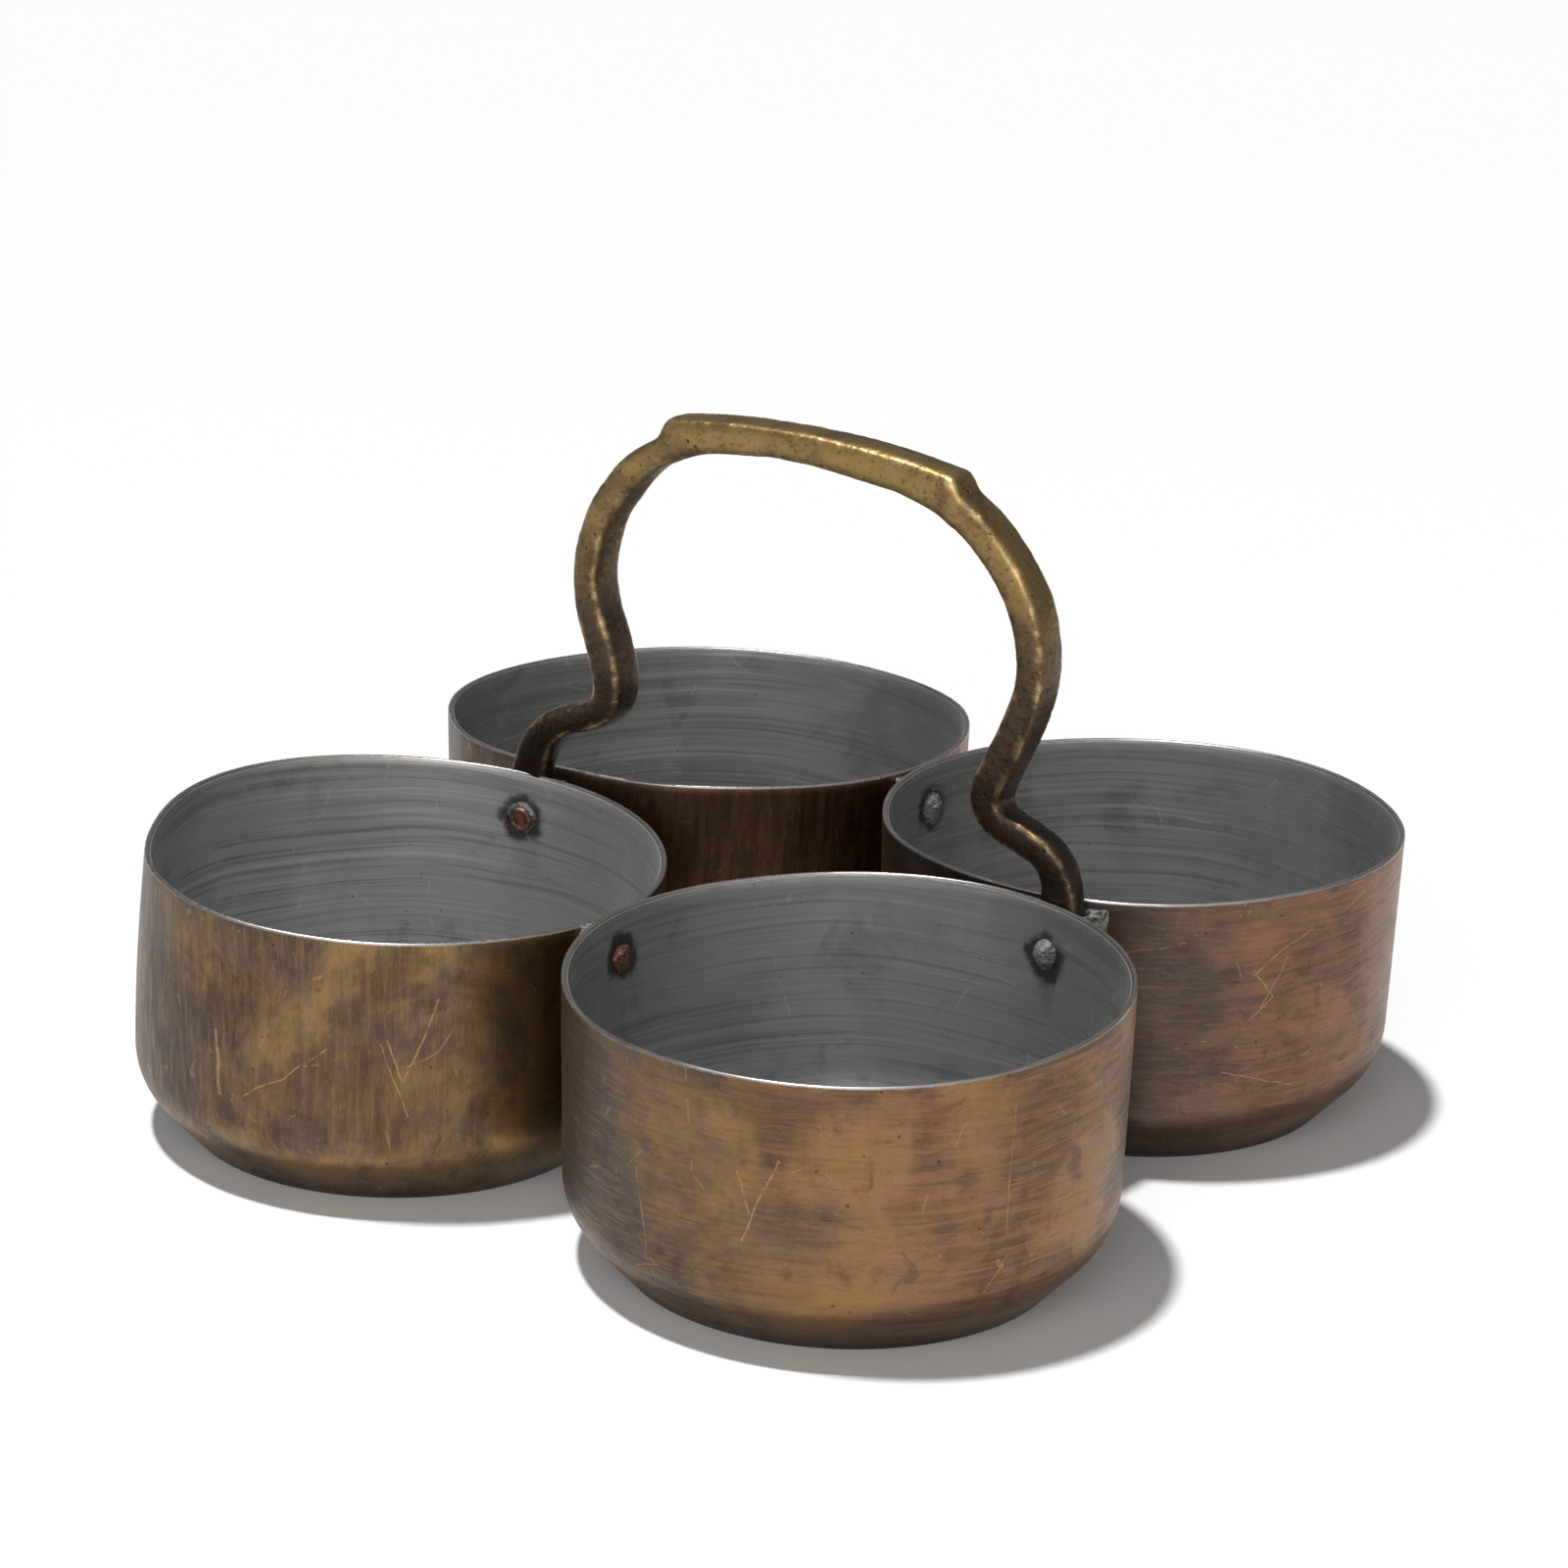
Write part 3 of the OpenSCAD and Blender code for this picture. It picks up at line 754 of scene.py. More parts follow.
@dataclass(frozen=True)
class HammeredCopper:
    """The hammered ends and heads of the rivets: dull red copper, grimy in the dips."""

    name: str
    copper: tuple = (0.24, 0.115, 0.088)
    grime: tuple = (0.05, 0.035, 0.03)
    bright: tuple = (0.42, 0.24, 0.19)

    def make(self, effects: Effects) -> bpy.types.Material:
        """Builds the material.

        Args:
            effects: The shared node groups.

        Returns:
            The finished material.
        """
        def build(graph: Graph) -> tuple:
            """Returns colour, roughness and height."""
            local = graph.object_place()
            cloud = {"Vector": local}
            patch = graph.use(effects.mottle, cloud | {"Scale": 420.0, "Low": 0.44, "High": 0.62}, "Mask")
            edge = graph.use(effects.wear, cloud | {"Convexity": graph.attribute("convexity"),
                                                    "Low": 0.05, "High": 0.16}, "Mask")
            grain = graph.noise(local, 1500.0, 3.0, 0.7)
            colour = graph.mix(graph.math("MULTIPLY", patch, 0.55), self.copper, self.grime)
            colour = graph.mix(graph.step(grain, 0.45, 0.28, 0.0, 0.7), colour, self.grime)
            colour = graph.mix(graph.math("MULTIPLY", edge, 0.6), colour, self.bright)
            rough = graph.step(grain, 0.3, 0.7, 0.55, 0.38)
            height = graph.math("ADD", graph.math("MULTIPLY", grain, 0.07),
                                graph.math("MULTIPLY", patch, -0.05))
            return colour, rough, height
        return metal(self.name, build)


@dataclass(frozen=True)
class SoftSolder:
    """Lumpy tin solder with pale greenish corrosion and black grime in its dips."""

    name: str = "soft_solder"
    grey: tuple = (0.30, 0.31, 0.30)
    crust: tuple = (0.47, 0.49, 0.42)
    grime: tuple = (0.035, 0.032, 0.028)

    def make(self, effects: Effects) -> bpy.types.Material:
        """Builds the material.

        Args:
            effects: The shared node groups.

        Returns:
            The finished material.
        """
        def build(graph: Graph) -> tuple:
            """Returns colour, roughness and height."""
            local = graph.object_place()
            cloud = {"Vector": local}
            crust = graph.use(effects.mottle, cloud | {"Scale": 380.0, "Low": 0.5, "High": 0.62}, "Mask")
            grime = graph.use(effects.mottle, cloud | {"Scale": 260.0, "Low": 0.50, "High": 0.60}, "Mask")
            grain = graph.noise(local, 1300.0, 4.0, 0.75)
            colour = graph.mix(graph.math("MULTIPLY", crust, 0.8), self.grey, self.crust)
            colour = graph.mix(graph.math("MULTIPLY", grime, 0.85), colour, self.grime)
            colour = graph.mix(graph.step(grain, 0.45, 0.3, 0.0, 0.7), colour, self.grime)
            rough = graph.step(grain, 0.3, 0.7, 0.7, 0.45)
            height = graph.math("ADD", graph.math("MULTIPLY", grain, 0.35),
                                graph.math("MULTIPLY", crust, 0.25))
            return colour, rough, height
        return metal(self.name, build)


# ----------------------------------------------------------------------------
# Turned pieces
# ----------------------------------------------------------------------------

def turned(name: str, profile: list, segments: int, closed: bool = True) -> bpy.types.Object:
    """Turns a profile about the Z axis by extruding and resizing one ring after another.

    Args:
        name: The piece's name.
        profile: Points of (radius, height) in metres, from the middle outward.
        segments: How many sides the rings have.
        closed: Whether the first ring is filled.

    Returns:
        The piece, with its doubles merged and its faces pointing outward.
    """
    deselect_all()
    fill = "TRIFAN" if closed else "NOTHING"
    radius, height = profile[0]
    bpy.ops.mesh.primitive_circle_add(vertices=segments, radius=radius, fill_type=fill,
                                      location=(0, 0, height))
    piece = new_piece(name)
    bpy.ops.object.transform_apply(location=True, rotation=False, scale=False)
    bpy.ops.object.mode_set(mode="EDIT")
    edit_select(piece, "edges", lambda edge: len(edge.link_faces) < 2)
    for before, after in zip(profile, profile[1:]):
        growth = after[0] / before[0]
        bpy.ops.mesh.extrude_region_move(TRANSFORM_OT_translate={"value": (0, 0, after[1] - before[1])})
        bpy.ops.transform.resize(value=(growth, growth, 1), center_override=(0, 0, after[1]))
    bpy.ops.mesh.select_all(action="SELECT")
    bpy.ops.mesh.remove_doubles(threshold=0.00001)
    bpy.ops.mesh.normals_make_consistent(inside=False)
    bpy.ops.object.mode_set(mode="OBJECT")
    return piece


def turn_between(bearing: np.ndarray, angle: float) -> np.ndarray:
    """Returns how far each bearing in radians lies from an angle in degrees, as radians."""
    return np.abs((bearing - radians(angle) + pi) % (2 * pi) - pi)


# How a wall waves on its way round: size, waves in a turn, share of the bowl's phase, twist up the wall.
WAVES = ((1.0, 2, 1.0, 0), (0.7, 3, 2.1, 0), (0.35, 5, -1.3, 4), (0.2, 9, 2.0, 9))
WAVE_REACH = 2.25


@dataclass(frozen=True)
class Dent:
    """A push into a bowl's wall: bearing and half width in degrees, depth at the rim in metres."""

    bearing: float
    half_width: float
    depth: float
    fade: float = 2.0


@dataclass
class Bowl:
    """One hand-raised bowl: the brass sheet and the tin inside it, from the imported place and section."""

    side: str
    brass: AgedBrass
    tin: DullTin
    lean: tuple = (0.0, 0.0)
    lift: float = 0.0
    phase: float = 0.0
    quiet: tuple = ()
    dents: tuple = ()
    wobble: float = 1.1 * MM
    wall: float = 1.4 * MM
    tin_wall: float = 0.25 * MM
    tin_lap: float = 0.05 * MM
    tin_drop: float = 0.6 * MM
    base_inset: float = 16.5 * MM
    corner_radius: float = 20 * MM
    corner_top: float = 23 * MM
    draft: float = radians(1.9)
    segments: int = 256
    floor_rings: tuple = (0.12, 0.28, 0.46, 0.64, 0.80, 0.92, 0.975, 1.0)
    corner_lead: float = 0.6 * MM
    corner_steps: int = 18
    wall_rings: int = 20
    edge_round: float = 0.36
    edge_angle: float = radians(62)
    quiet_half: float = radians(8)
    quiet_fade: float = radians(26)
    ripple: float = 0.25 * MM
    centre: Vector = field(init=False)
    rim: float = field(init=False)
    height: float = field(init=False)

    def __post_init__(self) -> None:
        """Reads the bowl's middle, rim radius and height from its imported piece."""
        low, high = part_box(f"bowl_{self.side}")
        self.centre = Vector(((low.x + high.x) / 2, (low.y + high.y) / 2, 0.0))
        self.rim = (high.x - low.x) / 2
        self.height = high.z

    def wall_radius(self, height: float, inward: float) -> float:
        """Returns the wall's radius at a height, for a surface moved inward from the outside."""
        return self.rim - (self.height - height) * tan(self.draft) - inward / cos(self.draft)

    def section(self, inward: float, top: float) -> list:
        """Lays out the bowl's section, moved inward.

        Args:
            inward: How far the section lies inside the bowl's outside.
            top: Height of its last point.

        Returns:
            Points of (radius, height), from near the middle to the top.
        """
        middle = Vector((self.wall_radius(self.corner_top, 0) - self.corner_radius * cos(self.draft),
                         self.corner_top + self.corner_radius * sin(self.draft)))
        reach = Vector((self.rim - self.base_inset, 0)) - middle
        start = atan2(reach.y, reach.x) + acos(self.corner_radius / reach.length)
        flat = self.rim - self.base_inset - inward * tan((pi / 2 + start) / 2)
        points = [(flat * share, inward) for share in self.floor_rings]
        lead = self.corner_lead
        points.append((flat + lead, inward + lead * tan(pi / 2 + start)))
        for step in range(self.corner_steps + 1):
            turn = start + (-self.draft - start) * step / self.corner_steps
            bend = self.corner_radius - inward
            points.append((middle.x + bend * cos(turn), middle.y + bend * sin(turn)))
        first = points[-1][1]
        for ring in range(1, self.wall_rings + 1):
            height = first + (top - first) * ring / self.wall_rings
            points.append((self.wall_radius(height, inward), height))
        return points

    def worked(self, points: np.ndarray) -> np.ndarray:
        """Gives this bowl what the hammer and use left: a leaning rim, an uneven wall, dents.

        Args:
            points: Rows of points on the true bowl.

        Returns:
            The moved points.
        """
        away = points - np.array(self.centre)
        bearing = np.arctan2(away[:, 1], away[:, 0])
        share = np.clip(away[:, 2] / self.height, 0, 1.05)
        radius = np.hypot(away[:, 0], away[:, 1]) + 1e-9
        calm = np.ones(len(points))
        for angle in self.quiet:
            calm *= np.clip((turn_between(bearing, angle) - self.quiet_half) / self.quiet_fade, 0, 1)
        waves = sum(size * np.sin(count * bearing + phase * self.phase + twist * share)
                    for size, count, phase, twist in WAVES)
        inward = self.wobble * calm * share ** 1.3 * (waves + WAVE_REACH) / (2 * WAVE_REACH)
        for dent in self.dents:
            off = turn_between(bearing, dent.bearing) / radians(dent.half_width)
            inward = inward + dent.depth * np.cos(np.clip(off, 0, 1) * pi / 2) ** 2 * share ** dent.fade
        near_wall = np.clip(radius / self.rim * 2 - 0.8, 0, 1)
        shrink = 1 - inward * near_wall / radius
        moved = points.copy()
        moved[:, :2] = np.array(self.centre)[:2] + away[:, :2] * shrink[:, None]
        tilt = (self.lean[0] * away[:, 0] + self.lean[1] * away[:, 1]) * MM / self.rim + self.lift * MM
        ripple = self.ripple * np.sin(4 * bearing + 1.7 * self.phase) * near_wall
        moved[:, 2] += (tilt + ripple) * share ** 2
        return moved

    def shell(self, name: str, inward: float, thickness: float, top: float) -> bpy.types.Object:
        """Builds one open shell of the bowl.

        Args:
            name: The piece's name.
            inward: How far its outer face lies inside the bowl's outside.
            thickness: Its thickness, further inward.
            top: Height of its edge.

        Returns:
            The shell in its place, worked by hand, with its attributes for the finish.
        """
        profile = self.section(inward, top)
        piece = turned(name, profile, self.segments)
        apply_modifier(piece, "SOLIDIFY", thickness=thickness, offset=-1.0, use_even_offset=True)
        apply_modifier(piece, "BEVEL", width=thickness * self.edge_round, segments=2,
                       limit_method="ANGLE", angle_limit=self.edge_angle)
        flat = points_of(piece)
        radius = np.hypot(flat[:, 0], flat[:, 1])
        store(piece, "below_rim", self.height - flat[:, 2])
        store(piece, "section_run", np.where(flat[:, 2] < self.corner_top, radius + flat[:, 2] * 0.5,
                                             self.rim + flat[:, 2]))
        set_points(piece, self.worked(flat + np.array(self.centre)))
        smooth_shade(piece, 60)
        return piece

    def build(self, effects: Effects) -> None:
        """Builds and dresses the brass sheet and the tin.

        Args:
            effects: The shared node groups.
        """
        sheet = self.shell(f"sheet_{self.side}", 0.0, self.wall, self.height)
        sheet.data.materials.append(self.brass.make(effects, self.centre, self.rim))
        hand_over(sheet, f"bowl_{self.side}")
        skin = self.shell(f"tin_{self.side}", self.wall - self.tin_lap, self.tin_wall + self.tin_lap,
                          self.height - self.tin_drop)
        skin.data.materials.append(self.tin.make(effects, self.centre))
        hand_over(skin, f"tin_lining_{self.side}")


def hand_over(piece: bpy.types.Object, node: str) -> None:
    """Lets a finished piece stand for a packed one, on the body."""
    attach(piece, BODY)
    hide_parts(node)
    LOG.info("%s: %d faces", piece.name, len(piece.data.polygons))


# ----------------------------------------------------------------------------
# Handle
# ----------------------------------------------------------------------------

@dataclass
class Handle:
    """The cast bail: a straight bar with its pad, bent to its line between the two feet.

    Each row of the line is a place along the span, a height above the rims in millimetres, and factors on
    the bar's width and depth. The finished bar comes out about 1 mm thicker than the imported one.
    """

    finish: CastBrass
    left: Vector
    right: Vector
    rim: float
    bar: float = 9.1 * MM
    depth: float = 11.9 * MM
    corner: float = 1.6 * MM
    pad_middle: float = 0.525
    pad_length: float = 87 * MM
    pad_top: float = 109 * MM
    pad_radius: float = 250 * MM
    pad_ramp: float = 2.6 * MM
    steps: int = 6
    line: tuple = (
        (0.004, -22, 1.05, 0.42), (0.000, -17, 1.62, 0.52), (0.000, -9, 1.62, 0.55),
        (0.000, -3, 1.45, 0.58), (0.006, 4, 1.20, 0.62), (0.028, 11.5, 1.05, 0.70),
        (0.070, 17, 0.90, 0.80), (0.115, 19.5, 0.90, 0.90), (0.152, 24, 1.00, 0.96),
        (0.160, 31, 1.05, 1.00), (0.146, 40, 1.05, 1.00), (0.122, 51, 1.00, 1.00),
        (0.117, 62, 0.95, 1.00), (0.138, 75, 0.95, 1.00), (0.180, 86, 0.95, 1.00),
        (0.228, 93.5, 0.86, 1.00), (0.285, 98.5, 0.84, 1.00), (0.355, 102, 0.86, 1.00),
        (0.470, 104, 0.88, 1.00), (0.590, 103.5, 0.88, 1.00), (0.700, 101.5, 0.92, 1.00),
        (0.775, 98, 1.00, 1.00), (0.838, 91.5, 1.00, 1.00), (0.888, 83, 1.00, 1.00),
        (0.920, 74, 0.98, 1.00), (0.936, 63, 0.95, 1.00), (0.932, 53, 0.95, 1.00),
        (0.910, 42, 1.00, 1.00), (0.880, 31, 1.00, 1.00), (0.868, 24, 1.00, 0.96),
        (0.885, 18.5, 0.95, 0.88), (0.930, 15.5, 0.92, 0.80), (0.972, 12, 0.95, 0.74),
        (0.995, 6, 1.05, 0.70), (1.000, -3, 1.25, 0.68), (1.000, -10, 1.55, 0.66),
        (1.000, -17, 1.55, 0.62), (0.998, -22, 1.05, 0.50),
    )

    def span(self) -> float:
        """Returns the distance between the two feet."""
        return hypot(self.right.x - self.left.x, self.right.y - self.left.y)

    def stations(self) -> np.ndarray:
        """Returns the smoothed line: distance from the left foot, height, width and depth, in metres."""
        span = self.span()
        raw = np.array([(s * span, self.rim + z * MM, w * self.bar, d * self.depth)
                        for s, z, w, d in self.line])
        padded = np.vstack([raw[0], raw, raw[-1]])
        smooth = []
        for a, b, c, d in zip(padded, padded[1:], padded[2:], padded[3:]):
            for u in np.arange(self.steps) / self.steps:
                smooth.append(0.5 * (2 * b + (c - a) * u + (2 * a - 5 * b + 4 * c - d) * u ** 2
                                     + (3 * b - a - 3 * c + d) * u ** 3))
        return np.vstack([smooth, raw[-1:]])

    def pad_height(self, stations: np.ndarray, slope: np.ndarray) -> np.ndarray:
        """Works out how far the pad stands above the bar.

        Args:
            stations: The smoothed line.
            slope: The line's slope at each station, in radians.

        Returns:
            One height for each station.
        """
        off = stations[:, 0] - self.pad_middle * self.span()
        arc = np.sqrt(np.maximum(self.pad_radius ** 2 - off ** 2, 0))
        top = self.rim + self.pad_top - self.pad_radius + arc
        rise = top - stations[:, 1] - stations[:, 2] / 2 * np.cos(slope)
        inside = np.clip((self.pad_length / 2 - np.abs(off)) / self.pad_ramp, 0, 1)
        return np.where(stations[:, 1] > self.rim + 80 * MM, rise * inside, 0.0)

    def build(self, effects: Effects) -> None:
        """Builds and dresses the handle.

        Args:
            effects: The shared node groups.
        """
        stations = self.stations()
        ahead = np.gradient(stations[:, :2], axis=0)
        slope = np.arctan2(ahead[:, 1], ahead[:, 0])
        run = np.concatenate([[0], np.cumsum(np.hypot(*np.diff(stations[:, :2], axis=0).T))])
        pad = self.pad_height(stations, slope)
        width = stations[:, 2] + pad
        depth = stations[:, 3]
        piece = self.straight_bar(run, width, depth, pad / 2)
        self.bend(piece, stations, slope, run)
        subdivide(piece, 1)
        roughen(piece, 13 * MM, 0.75 * MM, 3)
        subdivide(piece, 1)
        roughen(piece, 2.2 * MM, 0.24 * MM, 5)
        store_convexity(piece)
        smooth_shade(piece, 70)
        piece.data.materials.append(self.finish.make(effects))
        hand_over(piece, "handle")

    def straight_bar(self, run: np.ndarray, width: np.ndarray, depth: np.ndarray,
                     shift: np.ndarray) -> bpy.types.Object:
        """Extrudes the bar straight up, with rounded corners and the pad's rise on its +X side.

        Args:
            run: Distance along the line at each station.
            width: The bar's width there, with the pad.
            depth: The bar's depth there.
            shift: How far the section's middle moves towards the pad.

        Returns:
            The straight bar.
        """
        deselect_all()
        bpy.ops.mesh.primitive_plane_add(size=1.0, location=(0, 0, 0))
        piece = new_piece("bail_handle")
        bpy.ops.object.mode_set(mode="EDIT")
        bpy.ops.transform.resize(value=(width[0], depth[0], 1), center_override=(0, 0, 0))
        bpy.ops.mesh.bevel(offset=self.corner, segments=2, affect="VERTICES")
        bpy.ops.mesh.select_all(action="SELECT")
        for k in range(1, len(run)):
            step = (shift[k] - shift[k - 1], 0, run[k] - run[k - 1])
            growth = (width[k] / width[k - 1], depth[k] / depth[k - 1], 1)
            bpy.ops.mesh.extrude_region_move(TRANSFORM_OT_translate={"value": step})
            bpy.ops.transform.resize(value=growth, center_override=(shift[k], 0, run[k]))
        bpy.ops.mesh.select_all(action="SELECT")
        bpy.ops.mesh.normals_make_consistent(inside=False)
        bpy.ops.object.mode_set(mode="OBJECT")
        return piece

    def bend(self, piece: bpy.types.Object, stations: np.ndarray, slope: np.ndarray,
             run: np.ndarray) -> None:
        """Bends the straight bar to the handle's line and stands it between its feet.

        Args:
            piece: The straight bar.
            stations: The smoothed line.
            slope: The line's slope at each station, in radians.
            run: Distance along the line at each station.
        """
        points = points_of(piece)
        along = np.interp(points[:, 2], run, stations[:, 0])
        height = np.interp(points[:, 2], run, stations[:, 1])
        turn = np.interp(points[:, 2], run, np.unwrap(slope))
        x = along - points[:, 0] * np.sin(turn)
        z = height + points[:, 0] * np.cos(turn)
        heading = (self.right - self.left).normalized()
        moved = np.empty_like(points)
        moved[:, 0] = self.left.x + x * heading.x - points[:, 1] * -heading.y
        moved[:, 1] = self.left.y + x * heading.y - points[:, 1] * heading.x
        moved[:, 2] = z
        set_points(piece, moved)
        activate(piece)
        bpy.ops.object.mode_set(mode="EDIT")
        bpy.ops.mesh.select_all(action="SELECT")
        bpy.ops.mesh.normals_make_consistent(inside=False)
        bpy.ops.object.mode_set(mode="OBJECT")


# ----------------------------------------------------------------------------
# Rivets and solder
# ----------------------------------------------------------------------------

# Sections of the rivets' heads, their hammered ends and the washers, as (radius, height) in millimetres.
DOME = ((0.7, 2.35), (1.5, 2.2), (2.3, 1.95), (3.0, 1.5), (3.6, 0.85), (3.9, 0.1), (3.95, -1.2))
PEEN = ((0.6, 0.95), (1.3, 0.9), (1.8, 0.85), (2.2, 1.05), (2.7, 1.15), (3.1, 0.95), (3.3, 0.45),
        (3.35, -0.9))
COLLAR = ((2.15, -0.6), (2.15, 0.75), (2.5, 1.0), (3.2, 1.05), (3.9, 0.85), (4.4, 0.35), (4.6, -0.2),
          (4.6, -0.8), (2.15, -0.6))


@dataclass
class WallEnd:
    """Where one end of a rivet comes through the inside of a bowl's wall."""

    bowl: Bowl
    bearing: float
    height: float

    def matrix(self) -> Matrix:
        """Returns the place on the wall, with +Z pointing into the bowl."""
        reach = self.bowl.wall_radius(self.height, self.bowl.wall + self.bowl.tin_wall)
        away = Vector((reach * cos(self.bearing), reach * sin(self.bearing), self.height))
        spot = self.bowl.centre + away
        turn = Matrix.Rotation(self.bearing, 4, "Z") @ Matrix.Rotation(radians(-90), 4, "Y")
        return Matrix.Translation(spot) @ turn


@dataclass
class Rivet:
    """One rivet with its domed head in one bowl and its hammered end and washer in the next."""

    place: str
    head: WallEnd
    tail: WallEnd
    metal: HammeredCopper | SoftSolder
    washer_metal: SoftSolder
    metal_slot: str
    seed: int
    washer_height: float = 1.0 * MM
    shank: float = 2.0 * MM
    stretch: float = 1.0

    def end_piece(self, name: str, profile: tuple, end: WallEnd, rise: float,
                  rough: float) -> bpy.types.Object:
        """Turns, hammers and places one end of the rivet, or its washer.

        Args:
            name: The piece's name.
            profile: Its section, closed for a washer.
            end: Where it sits.
            rise: How far it stands off the wall.
            rough: How deep the hammering is.

        Returns:
            The piece in its place.
        """
        closed = profile[0] != profile[-1]
        scaled = [(radius * MM, height * MM) for radius, height in profile]
        piece = turned(name, scaled, 28, closed)
        subdivide(piece, 2)
        stretched = Matrix.Diagonal((self.stretch, 1, 1, 1))
        place(piece, end.matrix() @ Matrix.Translation((0, 0, rise)) @ stretched)
        roughen(piece, 2.2 * MM, rough, self.seed)
        set_points(piece, end.bowl.worked(points_of(piece)))
        return piece

    def build(self, effects: Effects) -> None:
        """Builds and dresses the rivet and its washer.

        Args:
            effects: The shared node groups.
        """
        dome = self.end_piece(f"rivet_head_{self.place}", DOME, self.head, 0.0, 0.9 * MM)
        peen = self.end_piece(f"rivet_end_{self.place}", PEEN, self.tail, self.washer_height * 0.7,
                              0.45 * MM)
        a, b = self.head.matrix().translation, self.tail.matrix().translation
        length = (b - a).length
        core = self.shank * 0.5
        pin_section = [(core, 0.0), (self.shank, 0.0), (self.shank, length), (core, length)]
        pin = turned(f"rivet_pin_{self.place}", pin_section, 24)
        place(pin, Matrix.Translation(a) @ (b - a).to_track_quat("Z", "Y").to_matrix().to_4x4())
        deselect_all()
        for part in (peen, pin, dome):
            part.select_set(True)
        bpy.context.view_layer.objects.active = dome
        bpy.ops.object.join()
        dome.name = f"hammered_rivet_{self.place}"
        store_convexity(dome)
        smooth_shade(dome, 60)
        dome.data.materials.append(self.metal.make(effects))
        hand_over(dome, f"rivet_{self.place}")
        collar = self.end_piece(f"washer_{self.place}", COLLAR, self.tail, 0.0, 0.7 * MM)
        store_convexity(collar)
        smooth_shade(collar, 60)
        collar.data.materials.append(self.washer_metal.make(effects))
        hand_over(collar, f"rove_{self.place}")


@dataclass
class Solder:
    """One run of solder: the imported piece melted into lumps."""

    place: str
    finish: SoftSolder
    seed: int
    grain: float = 0.55 * MM
    lump: float = 1.5 * MM

    def build(self, effects: Effects) -> None:
        """Builds and dresses the solder.

        Args:
            effects: The shared node groups.
        """
        deselect_all()
        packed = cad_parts[f"solder_{self.place}"]
        packed.select_set(True)
        bpy.context.view_layer.objects.active = packed
        bpy.ops.object.duplicate()
        piece = new_piece(f"lumpy_solder_{self.place}")
        for key in [key for key in piece.keys() if key.startswith("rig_")]:
            del piece[key]
        piece.parent = None
        piece.data.materials.clear()
        bpy.ops.object.mode_set(mode="EDIT")
        bpy.ops.mesh.select_all(action="SELECT")
        bpy.ops.mesh.remove_doubles(threshold=0.00001)
        bpy.ops.object.mode_set(mode="OBJECT")
        apply_modifier(piece, "REMESH", mode="VOXEL", voxel_size=self.grain)
        apply_modifier(piece, "SMOOTH", factor=0.5, iterations=4)
        roughen(piece, 2.6 * MM, self.lump, self.seed)
        store_convexity(piece)
        smooth_shade(piece, 70)
        piece.data.materials.append(self.finish.make(effects))
        hand_over(piece, f"solder_{self.place}")


# ----------------------------------------------------------------------------
# Studio
# ----------------------------------------------------------------------------

